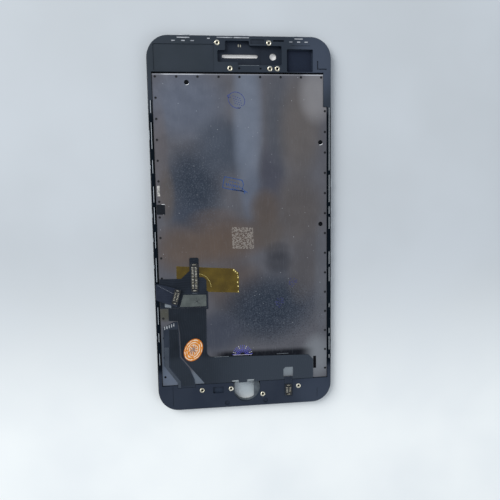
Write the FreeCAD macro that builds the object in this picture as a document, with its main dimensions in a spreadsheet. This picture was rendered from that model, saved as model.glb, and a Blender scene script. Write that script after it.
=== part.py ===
import FreeCAD, Part
import Sketcher
import math
import os

# Back side up: the glass face lies at height 0, +Y points to the earpiece end, +X to the right.
# Every size is in millimetres. Heights are measured from the outer face of the glass.

doc = FreeCAD.newDocument("screen_assembly")
sheet = doc.addObject("Spreadsheet::Sheet", "Sizes")
nodes = []


# Sizes and expressions

def as_size(number):
    """Give a plain number the same form as a size from the sheet."""
    if isinstance(number, Size):
        return number
    return Size(float(number), "(%.6f)" % number)


class Size:
    """A length together with the sheet expression that gives it."""

    def __init__(self, value, text):
        self.value = value
        self.text = text

    def __add__(self, other):
        other = as_size(other)
        return Size(self.value + other.value, "(%s + %s)" % (self.text, other.text))

    def __sub__(self, other):
        other = as_size(other)
        return Size(self.value - other.value, "(%s - %s)" % (self.text, other.text))

    def __mul__(self, factor):
        factor = as_size(factor)
        return Size(self.value * factor.value, "(%s * %s)" % (self.text, factor.text))

    def __truediv__(self, other):
        other = as_size(other)
        return Size(self.value / other.value, "(%s / %s)" % (self.text, other.text))

    def __neg__(self):
        return Size(-self.value, "(0 - %s)" % self.text)

    def __rsub__(self, other):
        return as_size(other) - self

    __radd__ = __add__
    __rmul__ = __mul__


def cell(name, value):
    """Write one driving dimension to the next row of the sheet."""
    cell.row += 1
    sheet.set("A%d" % cell.row, name)
    sheet.set("B%d" % cell.row, str(value))
    sheet.setAlias("B%d" % cell.row, name)
    return Size(float(value), "Sizes." + name)


cell.row = 0


def bind(thing, path, size):
    """Set a property and tie it to the sheet."""
    size = as_size(size)
    if "." not in path and "[" not in path:
        setattr(thing, path, size.value)
    thing.setExpression(path, size.text)


def copies_along(length, pitch):
    """How many places of one pitch fit on a length, both ends counted."""
    return int(length.value / pitch.value) + 1


# Overall sizes: the lit area, and the bands of glass round it
active_half_width = cell("active_half_width", 34.25)
active_half_length = cell("active_half_length", 60.9)
side_band = cell("side_band", 3.05)
end_band = cell("end_band", 16.0)
glass_thick = cell("glass_thick", 0.7)
glass_corner = cell("glass_corner", 8.6)
glass_edge = cell("glass_edge", 0.35)
rim = cell("rim", 0.3)
frame_edge = cell("frame_edge", 0.25)
window_gap = cell("window_gap", 0.27)
fit_gap = cell("fit_gap", 0.1)

half_width = active_half_width + side_band
half_length = active_half_length + end_band
frame_half_width = half_width - rim
frame_half_length = half_length - rim

# Display stack, from the glass outwards to the plate
adhesive_thick = cell("adhesive_thick", 0.15)
polarizer_thick = cell("polarizer_thick", 0.1)
panel_thick = cell("panel_thick", 0.2)
prism_thick = cell("prism_thick", 0.08)
diffuser_thick = cell("diffuser_thick", 0.06)
guide_thick = cell("guide_thick", 0.43)
reflector_thick = cell("reflector_thick", 0.1)
plate_thick = cell("plate_thick", 0.25)
active_border = cell("active_border", 0.5)
panel_ledge = cell("panel_ledge", 2.0)
mould_wall = cell("mould_wall", 0.7)
mould_play = cell("mould_play", 0.05)
tray_wall = cell("tray_wall", 0.2)
plate_apron = cell("plate_apron", 4.8)

adhesive_at = glass_thick
front_polarizer_at = adhesive_at + adhesive_thick
filter_at = front_polarizer_at + polarizer_thick
tft_at = filter_at + panel_thick
rear_polarizer_at = tft_at + panel_thick
prism_upper_at = rear_polarizer_at + polarizer_thick
prism_lower_at = prism_upper_at + prism_thick
diffuser_at = prism_lower_at + prism_thick
guide_at = diffuser_at + diffuser_thick
reflector_at = guide_at + guide_thick
plate_at = reflector_at + reflector_thick
plate_top = plate_at + plate_thick

mould_half_width = active_half_width + mould_play + mould_wall
plate_half_width = mould_half_width + mould_play + tray_wall
plate_head = active_half_length + mould_play + mould_wall + mould_play + tray_wall
plate_foot = -(active_half_length + plate_apron)
window_half_width = plate_half_width + window_gap
window_head = plate_head + window_gap
window_foot = plate_foot - window_gap

# Heights of the frame
frame_proud = cell("frame_proud", 0.45)
floor_thick = cell("floor_thick", 0.4)
tray_floor_thick = cell("tray_floor_thick", 0.7)
well_floor_thick = cell("well_floor_thick", 0.2)
frame_top = plate_top + frame_proud
frame_floor = glass_thick + floor_thick
tray_floor = glass_thick + tray_floor_thick
well_floor = glass_thick + well_floor_thick


# Building blocks

def point_at(pair):
    return FreeCAD.Vector(as_size(pair[0]).value, as_size(pair[1]).value, 0)


def fix_point(sketch, piece, end, pair):
    """Tie one point of a sketch to its two coordinates."""
    for kind, size in (("DistanceX", pair[0]), ("DistanceY", pair[1])):
        size = as_size(size)
        rule = sketch.addConstraint(Sketcher.Constraint(kind, -1, 1, piece, end, size.value))
        sketch.setExpression("Constraints[%d]" % rule, size.text)


def draw_outline(sketch, points):
    """Draw a closed outline of straight lines through the points."""
    first = sketch.GeometryCount
    count = len(points)
    for i in range(count):
        line = Part.LineSegment(point_at(points[i]), point_at(points[(i + 1) % count]))
        sketch.addGeometry(line, False)
    for i in range(count):
        after = first + (i + 1) % count
        sketch.addConstraint(Sketcher.Constraint("Coincident", first + i, 2, after, 1))
        fix_point(sketch, first + i, 1, points[i])


def draw_rounded_outline(sketch, points, radius):
    """Draw a closed outline of level and upright lines, each corner an arc of one radius."""
    radius = as_size(radius)
    count = len(points)
    corners = []
    for i in range(count):
        here = point_at(points[i])
        back = (point_at(points[i - 1]) - here).normalize()
        on = (point_at(points[(i + 1) % count]) - here).normalize()
        shift = back + on
        centre = (points[i][0] + radius * round(shift.x), points[i][1] + radius * round(shift.y))
        left_turn = (-back).cross(on).z > 0
        corners.append((here + back * radius.value, here + on * radius.value, centre, left_turn))
    first = sketch.GeometryCount
    for i, (start, end, centre, left_turn) in enumerate(corners):
        after = corners[(i + 1) % count]
        middle = point_at(centre)
        ends = (start, end) if left_turn else (end, start)
        a0 = math.atan2(ends[0].y - middle.y, ends[0].x - middle.x)
        a1 = math.atan2(ends[1].y - middle.y, ends[1].x - middle.x)
        circle = Part.Circle(middle, FreeCAD.Vector(0, 0, 1), radius.value)
        sketch.addGeometry(Part.ArcOfCircle(circle, a0, a1), False)
        sketch.addGeometry(Part.LineSegment(end, after[0]), False)
    for i, (start, end, centre, left_turn) in enumerate(corners):
        arc, line_out = first + 2 * i, first + 2 * i + 1
        line_in = first + (2 * i - 1) % (2 * count)
        begins, finishes = (1, 2) if left_turn else (2, 1)
        sketch.addConstraint(Sketcher.Constraint("Tangent", line_in, 2, arc, begins))
        sketch.addConstraint(Sketcher.Constraint("Tangent", arc, finishes, line_out, 1))
        rule = sketch.addConstraint(Sketcher.Constraint("Radius", arc, radius.value))
        sketch.setExpression("Constraints[%d]" % rule, radius.text)
        fix_point(sketch, arc, 3, centre)


def draw_circle(sketch, centre, radius):
    radius = as_size(radius)
    circle = Part.Circle(point_at(centre), FreeCAD.Vector(0, 0, 1), radius.value)
    piece = sketch.addGeometry(circle, False)
    rule = sketch.addConstraint(Sketcher.Constraint("Radius", piece, radius.value))
    sketch.setExpression("Constraints[%d]" % rule, radius.text)
    fix_point(sketch, piece, 3, centre)


def rectangle(x0, x1, y0, y1):
    return [(x0, y0), (x1, y0), (x1, y1), (x0, y1)]


def regular_outline(centre, radius, sides):
    """Corners of a regular outline round a centre, with a flat towards +X."""
    points = []
    for i in range(sides):
        turn = 2 * math.pi * (i + 0.5) / sides
        points.append((centre[0] + radius * math.cos(turn), centre[1] + radius * math.sin(turn)))
    return points


def new_body(label):
    body = doc.addObject("PartDesign::Body", label)
    body.Label = label
    return body


def new_sketch(body, name, at, outlines=(), circles=(), plane="XY_Plane", corner=None):
    """A sketch on one of the body's own planes, lifted off it by the height at."""
    sketch = body.newObject("Sketcher::SketchObject", name)
    planes = [p for p in body.Origin.OriginFeatures if p.Role == plane]
    sketch.AttachmentSupport = (planes[0], [""])
    sketch.MapMode = "FlatFace"
    at = as_size(at)
    sketch.AttachmentOffset = FreeCAD.Placement(FreeCAD.Vector(0, 0, at.value), FreeCAD.Rotation())
    sketch.setExpression("AttachmentOffset.Base.z", at.text)
    for points in outlines:
        if corner is None:
            draw_outline(sketch, points)
        else:
            draw_rounded_outline(sketch, points, corner)
    for centre, radius in circles:
        draw_circle(sketch, centre, radius)
    return sketch


def raised(body, name, at, height, outlines=(), circles=(), down=False, plane="XY_Plane"):
    """Pad the outlines from the height at, upwards or down."""
    sketch = new_sketch(body, name + "_outline", at, outlines, circles, plane)
    pad = body.newObject("PartDesign::Pad", name)
    pad.Profile = sketch
    pad.Reversed = down
    bind(pad, "Length", height)
    return pad


def sunk(body, name, at, depth, outlines=(), circles=(), corner=None):
    """Cut the outlines from the height at, down to the depth."""
    sketch = new_sketch(body, name + "_outline", at, outlines, circles, corner=corner)
    pocket = body.newObject("PartDesign::Pocket", name)
    pocket.Profile = sketch
    bind(pocket, "Length", depth)
    return pocket


def upright_edges(feature, corners):
    """The names of the feature's vertical edges that stand at the given corners."""
    feature.recompute(True)
    names = []
    for number, edge in enumerate(feature.Shape.Edges):
        ends = [v.Point for v in edge.Vertexes]
        if len(ends) != 2 or abs(ends[0].x - ends[1].x) + abs(ends[0].y - ends[1].y) > 1e-6:
            continue
        flat = FreeCAD.Vector(ends[0].x, ends[0].y, 0)
        if any(flat.distanceToPoint(point_at(corner)) < 1e-3 for corner in corners):
            names.append("Edge%d" % (number + 1))
    return names


def rounded(body, name, feature, corners, radius):
    """Round the vertical edges of a feature at the given corners."""
    fillet = body.newObject("PartDesign::Fillet", name)
    fillet.Base = (feature, upright_edges(feature, corners))
    bind(fillet, "Radius", radius)
    return fillet


def level_edges(feature, height):
    """The names of the feature's edges that lie at one height."""
    feature.recompute(True)
    names = []
    for number, edge in enumerate(feature.Shape.Edges):
        box = edge.BoundBox
        if abs(box.ZMin - height.value) + abs(box.ZMax - height.value) < 1e-6:
            names.append("Edge%d" % (number + 1))
    return names


def node(thing, label):
    """Name a finished piece."""
    thing.Label = label
    nodes.append(thing)
    return thing


def sheet_piece(label, at, thick, points, corners=(), radius=None):
    """A flat piece of one thickness, with some of its corners rounded."""
    body = new_body(label)
    pad = raised(body, label + "_pad", at, thick, [points])
    if corners:
        rounded(body, label + "_corners", pad, corners, radius)
    return node(body, label)


def block(name, x0, x1, y0, y1, z0, z1):
    """A plain block between two corners."""
    box = doc.addObject("Part::Box", name)
    for side, low, high in (("Length", x0, x1), ("Width", y0, y1), ("Height", z0, z1)):
        bind(box, side, as_size(high) - low)
    for axis, low in (("x", x0), ("y", y0), ("z", z0)):
        bind(box, "Placement.Base." + axis, low)
    return box


def set_down(thing, centre, base):
    """Put a piece's own origin at a place and a height."""
    for axis, size in (("x", centre[0]), ("y", centre[1]), ("z", base)):
        bind(thing, "Placement.Base." + axis, size)
    return thing


def cylinder(name, centre, radius, z0, z1):
    tube = doc.addObject("Part::Cylinder", name)
    bind(tube, "Radius", radius)
    bind(tube, "Height", as_size(z1) - z0)
    return set_down(tube, centre, z0)


def flatted_bar(name, centre, radius, sides, z0, z1):
    """An upright bar with a regular outline."""
    bar = doc.addObject("Part::Prism", name)
    bar.Polygon = sides
    bind(bar, "Circumradius", radius)
    bind(bar, "Height", as_size(z1) - z0)
    return set_down(bar, centre, z0)


def fused(name, pieces):
    whole = doc.addObject("Part::MultiFuse", name)
    whole.Shapes = pieces
    return whole


def group(label, pieces):
    """Separate like solids that share one name."""
    whole = doc.addObject("Part::Compound", label)
    whole.Links = pieces
    return node(whole, label)


def cut(name, base, tool):
    rest = doc.addObject("Part::Cut", name)
    rest.Base = base
    rest.Tool = tool
    return rest


def common(name, base, tool):
    shared = doc.addObject("Part::Common", name)
    shared.Base = base
    shared.Tool = tool
    return shared


# Places, each measured from the edge that it belongs to

def from_left(name, value):
    return cell(name, value) - half_width


def from_right(name, value):
    return half_width - cell(name, value)


def below_head(name, value):
    return half_length - cell(name, value)


def above_foot(name, value):
    return cell(name, value) - half_length


def above_window(name, value):
    return window_head + cell(name, value)


def below_window(name, value):
    return window_foot - cell(name, value)


def on_plate(across, along):
    """Across from the plate's left edge, along from its foot."""
    return (across - plate_half_width, plate_foot + along)


def on_plate_right(across, along):
    """Across from the plate's right edge, along from its foot."""
    return (plate_half_width - across, plate_foot + along)


def beside_button(across, along):
    """Across from the middle of the button, along from the plate's foot."""
    return (button_centre[0] + across, plate_foot + along)


def outline_cells(name, points, place):
    """Keep an outline's points in the sheet, and place them."""
    placed = []
    for i, (x, y) in enumerate(points):
        across = cell("%s_across_%d" % (name, i + 1), x)
        along = cell("%s_along_%d" % (name, i + 1), y)
        placed.append(place(across, along))
    return placed


# Holes through the glass: earpiece slot, camera and button
slot_middle, slot_along = cell("slot_across", -0.1), below_head("slot_along", 7.83)
slot_length = cell("slot_length", 14.5)
slot_width = cell("slot_width", 1.4)
camera_centre = (cell("camera_across", 13.38), below_head("camera_along", 7.9))
camera_radius = cell("camera_radius", 1.35)
button_centre = (cell("button_across", 0.2), above_foot("button_along", 8.05))
button_radius = cell("button_radius", 5.3)
button_room = cell("button_room", 0.5)

slot_round = slot_width / 2
slot_left = slot_middle - slot_length / 2 + slot_round
slot_right = slot_middle + slot_length / 2 - slot_round
slot_box = rectangle(slot_left, slot_right, slot_along - slot_round, slot_along + slot_round)


def cut_glass_holes(body, top, depth, prefix):
    """The slot and the camera hole, through a floor of the given depth."""
    sunk(body, prefix + "_slot", top, depth, [slot_box])
    sunk(body, prefix + "_slot_left", top, depth, circles=[((slot_left, slot_along), slot_round)])
    sunk(body, prefix + "_slot_right", top, depth, circles=[((slot_right, slot_along), slot_round)])
    sunk(body, prefix + "_camera", top, depth, circles=[(camera_centre, camera_radius)])


def make_cover_glass():
    """Front glass with rounded corners and a soft front edge."""
    body = new_body("cover_glass")
    outline = rectangle(-half_width, half_width, -half_length, half_length)
    pad = raised(body, "glass_pad", 0, glass_thick, [outline])
    corners = rounded(body, "glass_corners", pad, outline, glass_corner)
    soft = body.newObject("PartDesign::Fillet", "glass_soft_edge")
    soft.Base = (corners, level_edges(corners, as_size(0)))
    bind(soft, "Radius", glass_edge)
    cut_glass_holes(body, glass_thick, glass_thick, "glass")
    sunk(body, "glass_button", glass_thick, glass_thick, circles=[(button_centre, button_radius)])
    return node(body, "cover_glass")


# Light bar and driver chip
led_depth = cell("led_depth", 0.8)
led_gap = cell("led_gap", 0.15)
led_length = cell("led_length", 3.0)
led_pitch = cell("led_pitch", 4.6)
led_margin = cell("led_margin", 2.0)
chip_length = cell("chip_length", 24.0)
chip_width = cell("chip_width", 1.4)
chip_thick = cell("chip_thick", 0.15)


def make_display_stack():
    """Adhesive, liquid crystal panel and backlight films, each a flat sheet."""
    border = active_half_width + active_border
    head = active_half_length + active_border
    panel = rectangle(-border, border, -head, head)
    tft = rectangle(-border, border, -head - panel_ledge, head)
    film = rectangle(-active_half_width, active_half_width, -active_half_length, active_half_length)
    sheet_piece("optical_adhesive", adhesive_at, adhesive_thick, panel)
    sheet_piece("front_polarizer", front_polarizer_at, polarizer_thick, film)
    sheet_piece("color_filter_glass", filter_at, panel_thick, panel)
    sheet_piece("tft_glass", tft_at, panel_thick, tft)
    sheet_piece("rear_polarizer", rear_polarizer_at, polarizer_thick, film)
    sheet_piece("prism_film_upper", prism_upper_at, prism_thick, film)
    sheet_piece("prism_film_lower", prism_lower_at, prism_thick, film)
    sheet_piece("diffuser_film", diffuser_at, diffuser_thick, film)
    light_foot = led_depth + led_gap - active_half_length
    lit = rectangle(-active_half_width, active_half_width, light_foot, active_half_length)
    sheet_piece("light_guide", guide_at, guide_thick, lit)
    sheet_piece("reflector_film", reflector_at, reflector_thick, lit)


def make_mould_frame():
    """White ring that holds the backlight films inside the steel plate."""
    body = new_body("mould_frame")
    inner_width = active_half_width + mould_play
    inner_length = active_half_length + mould_play
    outer_length = inner_length + mould_wall
    outer = rectangle(-mould_half_width, mould_half_width, -outer_length, outer_length)
    inner = rectangle(-inner_width, inner_width, -inner_length, inner_length)
    raised(body, "mould_ring", rear_polarizer_at, plate_at - rear_polarizer_at, [outer, inner])
    return node(body, "mould_frame")


def make_light_bar():
    """Light bar at the foot of the light guide: a strip with a row of lamps under it."""
    foot = -active_half_length
    head = foot + led_depth
    strip = rectangle(-active_half_width, active_half_width, foot, head)
    sheet_piece("led_strip", reflector_at, reflector_thick, strip)
    count = copies_along(active_half_width * 2 - led_margin * 2 - led_length, led_pitch)
    first = -(led_pitch * (count - 1) / 2) - led_length / 2
    lamps = []
    for i in range(count):
        left = first + led_pitch * i
        name = "led_%d" % (i + 1)
        lamps.append(block(name, left, left + led_length, foot, head, guide_at, reflector_at))
    group("leds", lamps)


def make_driver_chip():
    """Long thin chip bonded to the ledge of the rear glass."""
    half = chip_length / 2
    head = -active_half_length - active_border - fit_gap
    chip = block("driver_chip", -half, half, head - chip_width, head, tft_at - chip_thick, tft_at)
    node(chip, "driver_chip")


# Backlight plate: a bright steel tray, its floor outwards
notch_across = cell("notch_across", 1.46)
notch_length = cell("notch_length", 12.95)
hole_radius = cell("hole_radius", 0.37)
hole_pitch = cell("hole_pitch", 8.39)
hole_edge = cell("hole_edge", 1.13)
hole_edge_right = cell("hole_edge_right", 0.7)
hole_land = cell("hole_land", 0.6)
left_pitch = cell("left_pitch", 8.22)
left_second_row = cell("left_second_row", 5.13)
right_first = cell("right_first", 14.6)
port_radius = cell("port_radius", 0.95)
plate_slot_width = cell("plate_slot_width", 1.3)
plate_slot_length = cell("plate_slot_length", 5.4)
SMALL_HOLE_SIDES = 8
DENT_SIDES = 16


def hole_row(body, name, centre, pitch, length, axis):
    """One small hole and its copies along a row of the plate, as many as the length takes."""
    hole = regular_outline(centre, hole_radius, SMALL_HOLE_SIDES)
    pocket = sunk(body, name, plate_top, plate_thick, [hole])
    row = body.newObject("PartDesign::LinearPattern", name + "_row")
    row.Originals = [pocket]
    row.Direction = (pocket.Profile[0], [axis])
    row.Reversed = axis == "V_Axis"
    count = copies_along(length, pitch)
    bind(row, "Length", pitch * (count - 1))
    row.Occurrences = count
    body.Tip = row


def make_backlight_plate():
    """Steel plate with folded rims, rows of small holes and three larger ones."""
    body = new_body("backlight_plate")
    step_x = plate_half_width - notch_across
    step_y = plate_head - notch_length
    floor = [
        (-plate_half_width, plate_foot), (plate_half_width, plate_foot),
        (plate_half_width, step_y), (step_x, step_y),
        (step_x, plate_head), (-plate_half_width, plate_head),
    ]
    raised(body, "plate_floor", plate_at, plate_thick, [floor])
    rim_foot = -active_half_length
    left = rectangle(-plate_half_width, tray_wall - plate_half_width, rim_foot, plate_head)
    right = rectangle(plate_half_width - tray_wall, plate_half_width, rim_foot, step_y)
    head = rectangle(tray_wall - plate_half_width, step_x, plate_head - tray_wall, plate_head)
    depth = plate_at - prism_upper_at
    raised(body, "plate_rim_left", plate_at, depth, [left], down=True)
    raised(body, "plate_rim_right", plate_at, depth, [right], down=True)
    raised(body, "plate_rim_head", plate_at, depth, [head], down=True)
    relief = button_radius + button_room * 2
    sunk(body, "plate_button", plate_top, plate_thick, circles=[(button_centre, relief)])
    slot_x, slot_y = on_plate_right(cell("plate_slot_across", 5.95), cell("plate_slot_along", 4.1))
    slot = rectangle(slot_x, slot_x + plate_slot_width, slot_y, slot_y + plate_slot_length)
    sunk(body, "plate_slot", plate_top, plate_thick, [slot])
    ports = [
        (cell("port_left", 13.46) - plate_half_width, plate_head - cell("port_head", 3.29)),
        (plate_half_width - cell("port_right", 2.64), plate_head - cell("port_upper", 27.23)),
        (plate_half_width - cell("port_right_low", 2.61), plate_head - cell("port_lower", 61.03)),
    ]
    for i, centre in enumerate(ports):
        sunk(body, "port_%d" % (i + 1), plate_top, plate_thick, circles=[(centre, port_radius)])
    first = (hole_edge - plate_half_width, plate_head - hole_edge)
    second = (first[0], first[1] - left_pitch)
    lower = (first[0], left_second_row)
    right_top = (plate_half_width - hole_edge_right, plate_head - right_first)
    end = plate_foot + hole_land
    hole_row(body, "head_hole", first, hole_pitch, step_x - hole_land - first[0], "H_Axis")
    hole_row(body, "left_hole", second, left_pitch, second[1] - hole_land - lower[1], "V_Axis")
    hole_row(body, "left_lower_hole", lower, hole_pitch, lower[1] - end, "V_Axis")
    hole_row(body, "right_hole", right_top, hole_pitch, right_top[1] - end, "V_Axis")
    return node(body, "backlight_plate")


# The flex that is folded round the left edge, and the gate it passes in the frame
fold_points = [(-1.5, 43.3), (-0.55, 43.5), (8.85, 40.9), (6.95, 33.7), (-0.25, 36.3), (-1.5, 37.0)]
fold_outline = outline_cells("fold", fold_points, on_plate)
gate_room = cell("gate_room", 0.9)
gate_head = fold_outline[1][1] + gate_room
gate_foot = fold_outline[3][1] + fit_gap

# Side rails: stamped strips that stand in the frame's walls
rail_thick = cell("rail_thick", 0.3)
rail_inset = cell("rail_inset", 0.95)
rail_foot_height = cell("rail_foot_height", 0.5)
rail_waist_depth = cell("rail_waist_depth", 0.6)
rail_proud = cell("rail_proud", 0.2)
hook_thick = cell("hook_thick", 0.2)
hook_clear = cell("hook_clear", 0.15)
hook_length = cell("hook_length", 1.4)
catch_length = cell("catch_length", 3.6)
hook_drop = cell("hook_drop", 0.7)
hook_depth = cell("hook_depth", 0.35)
hook_top = frame_top - hook_depth
rail_bottom = glass_thick + rail_foot_height
rail_waist = frame_top - rail_waist_depth
rail_top = frame_top + rail_proud
left_head, left_foot = below_head("left_rail_head", 25.4), above_foot("left_rail_foot", 20.4)
right_head, right_foot = below_head("right_rail_head", 28.2), above_foot("right_rail_foot", 19.7)

# Each bridge of the frame over a rail: its share of the way down, and its length
left_upper_bridges = [(0.093, 3.6), (0.291, 4.4), (0.429, 5.2), (0.566, 2.0), (0.695, 3.2), (0.836, 4.1)]
left_lower_bridges = [(0.370, 3.7), (0.699, 5.0)]
right_bridges = [(0.250, 1.8), (0.374, 1.8), (0.418, 1.4), (0.517, 9.6), (0.619, 1.4), (0.728, 9.6),
                 (0.832, 9.2), (0.903, 1.4), (0.975, 2.2)]

# Each hook: the stretch of rail that carries it, and how far it stands from the stretch's middle
left_hooks = [(1, 0.3), (2, 0.0), (4, 0.1), (5, 0.0), (6, 1.4), (8, 0.0)]
right_hooks = [(1, 2.3), (2, 0.0), (3, -1.0), (4, 1.3), (5, -1.8), (8, 0.0)]


def bridges_down(name, head, foot, bridges):
    """The head and foot of each bridge along one stretch of a rail."""
    edges = []
    for i, (share, long) in enumerate(bridges):
        middle = head - (head - foot) * cell("%s_share_%d" % (name, i + 1), share)
        half = cell("%s_length_%d" % (name, i + 1), long) / 2
        edges.append((middle + half, middle - half))
    return edges


def spans_between(head, foot, bridges):
    """Where the rail stands tall: the stretches between the bridges that hold it down."""
    starts = [head] + [low for high, low in bridges]
    ends = [high for high, low in bridges] + [foot]
    return list(zip(starts, ends))


left_spans = spans_between(left_head, left_foot, (
    bridges_down("left_upper_bridge", left_head, gate_head, left_upper_bridges)
    + [(gate_head, gate_foot)]
    + bridges_down("left_lower_bridge", gate_foot, left_foot, left_lower_bridges)))
right_spans = spans_between(right_head, right_foot,
                            bridges_down("right_bridge", right_head, right_foot, right_bridges))


def make_rail(label, sign, spans, hooks):
    """A comb of tall teeth on a low strip, with hooks bent outwards through the wall."""
    body = new_body(label + "_comb")
    points = [(spans[-1][1], rail_bottom), (spans[0][0], rail_bottom)]
    for i, (start, end) in enumerate(spans):
        if i:
            points.append((start, rail_waist))
        points += [(start, rail_top), (end, rail_top)]
        if i < len(spans) - 1:
            points.append((end, rail_waist))
    inner = frame_half_width - rail_inset
    at = inner if sign > 0 else -inner - rail_thick
    raised(body, label + "_strip", at, rail_thick, [points], plane="YZ_Plane")
    pieces = [body]
    outer = inner + rail_thick
    bend = frame_half_width + hook_clear
    tip = bend + hook_thick
    for i, (span, shift) in enumerate(hooks):
        middle = (spans[span][0] + spans[span][1]) / 2 + cell("%s_hook_shift_%d" % (label, i + 1), shift)
        half = (catch_length if i == 0 else hook_length) / 2
        for part, near, low in (("arm", outer, hook_top - hook_thick), ("tip", bend, hook_top - hook_drop)):
            x0, x1 = (near, tip) if sign > 0 else (-tip, -near)
            name = "%s_%s_%d" % (label, part, i + 1)
            pieces.append(block(name, x0, x1, middle - half, middle + half, low, hook_top))
    return node(fused(label, pieces), label)


# Clips in the head wall: a base, upright bars, and a tab that leaves through the rim
clip_thick = cell("clip_thick", 0.2)
clip_foot_height = cell("clip_foot_height", 0.8)
clip_proud = cell("clip_proud", 0.15)
clip_bar_width = cell("clip_bar_width", 0.4)
clip_clear = cell("clip_clear", 0.05)
clip_bottom = glass_thick + clip_foot_height
clip_top = frame_top + clip_proud
clip_left_end = (from_left("clip_left_start", 9.9), from_left("clip_left_end", 19.1))
clip_right_end = (from_right("clip_right_start", 17.7), from_right("clip_right_end", 9.8))
clip_mid_end = (clip_left_end[1] + cell("clip_mid_from_left", 4.8),
                clip_right_end[0] - cell("clip_mid_from_right", 10.6))


def make_clip(label, ends, depth, bars, tab, tab_along):
    """Bars are (distance from the left end, length, distance below the head); so is the tab."""
    x0, x1 = ends
    near, far = [below_head("%s_%s" % (label, side), value) for side, value in zip(("near", "far"), depth)]
    pieces = [block(label + "_floor", x0, x1, far, near, clip_bottom, clip_bottom + clip_thick)]
    half_bar = clip_bar_width / 2
    for i, (across, length, along) in enumerate(bars):
        name = "%s_bar_%d" % (label, i + 1)
        left = x0 + cell(name + "_across", across)
        y = below_head(name + "_along", along)
        pieces.append(block(name, left, left + cell(name + "_length", length), y - half_bar, y + half_bar,
                            clip_bottom, clip_top))
    t0 = x1 - cell(label + "_tab_start", tab[0])
    t1 = x1 - cell(label + "_tab_end", tab[1])
    y = below_head(label + "_tab_along", tab_along)
    tip = frame_half_length + clip_clear + clip_thick
    pieces.append(block(label + "_neck", t0, t1, y - half_bar, y + half_bar, clip_bottom, clip_top))
    pieces.append(block(label + "_over", t0, t1, y, tip, hook_top - clip_thick, hook_top))
    pieces.append(block(label + "_drop", t0, t1, tip - clip_thick, tip, hook_top - hook_drop, hook_top))
    return node(fused(label, pieces), label)


# Threaded brass inserts, flatted outside so that they can't turn in the moulding
insert_radius = cell("insert_radius", 1.03)
insert_bore = cell("insert_bore", 0.5)
insert_foot_height = cell("insert_foot_height", 0.5)
insert_proud = cell("insert_proud", 0.08)
insert_bottom = glass_thick + insert_foot_height
insert_top = frame_top + insert_proud
INSERT_FLATS = 12

insert_row_head = below_head("insert_row_head", 2.97)
insert_row_window = above_window("insert_row_window", 1.83)
insert_row_foot = below_window("insert_row_foot", 2.53)
top_insert_centres = [
    (cell("insert_head_left", -9.3), insert_row_head), (cell("insert_head_right", 11.47), insert_row_head),
    (cell("insert_earpiece", -4.34), insert_row_window), (cell("insert_camera", 11.8), insert_row_window),
    (cell("insert_camera_right", 14.8), insert_row_window),
]
foot_insert_centres = [
    (cell("insert_foot_left", -18.9), insert_row_foot), (cell("insert_button_left", -6.6), insert_row_foot),
    (cell("insert_button_right", 7.0), above_foot("insert_button_along", 5.25)),
    (cell("insert_foot_right", 22.6), below_window("insert_foot_along", 2.98)),
]


def make_inserts(label, centres):
    """Short brass sleeves, each bored right through. Gives the outer forms, for their seats."""
    bars, sleeves = [], []
    for i, centre in enumerate(centres):
        name = "%s_%d" % (label, i + 1)
        bar = flatted_bar(name + "_bar", centre, insert_radius, INSERT_FLATS, insert_bottom, insert_top)
        bore = cylinder(name + "_bore", centre, insert_bore, insert_bottom, insert_top)
        bars.append(bar)
        sleeves.append(cut(name, bar, bore))
    group(label, sleeves)
    return bars


# Moulded frame: pockets, grooves and marks
pocket_corner = cell("pocket_corner", 0.5)
apron_depth = cell("apron_depth", 0.3)
groove_depth = cell("groove_depth", 0.5)
foot_pocket_depth = cell("foot_pocket_depth", 0.9)
mark_depth = cell("mark_depth", 0.15)
mark_width = cell("mark_width", 0.3)
ledge_gap = cell("ledge_gap", 0.08)
home_flex_left = cell("home_flex_across", 16.6)
home_flex_foot = above_foot("home_flex_along", 3.6)
home_flex_head = plate_foot + cell("home_flex_over_plate", 1.1)
home_flex_width = cell("home_flex_width", 3.3)
home_flex_thick = cell("home_flex_thick", 0.15)
flex_thick = cell("flex_thick", 0.3)
flex_top = plate_top + flex_thick

second_flex_points = [(0.95, 24.9), (5.25, 27.2), (6.85, 27.3), (7.35, 22.5), (7.55, 11.9), (11.25, 7.1),
                      (13.25, 2.1), (13.65, -1.3), (6.25, -1.3), (6.25, 0.9), (0.95, 8.5)]
second_flex_outline = outline_cells("second_flex", second_flex_points, on_plate)


def recess_outline():
    """The stepped recess round the earpiece slot and the camera hole."""
    left, step = cell("recess_left", -9.25), cell("recess_step", -6.15)
    middle, right = cell("recess_middle", 3.5), cell("recess_right", 16.65)
    foot_step = cell("recess_foot_step", -1.1)
    head, right_top = below_head("recess_head", 2.2), below_head("recess_right_head", 4.0)
    left_top = below_head("recess_left_head", 5.85)
    foot_left = above_window("recess_foot_left", 4.33)
    foot_right = above_window("recess_foot_right", 3.13)
    return [(left, foot_left), (left, left_top), (step, left_top), (step, head), (middle, head),
            (middle, right_top), (right, right_top), (right, foot_right), (foot_step, foot_right),
            (foot_step, foot_left)]


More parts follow.
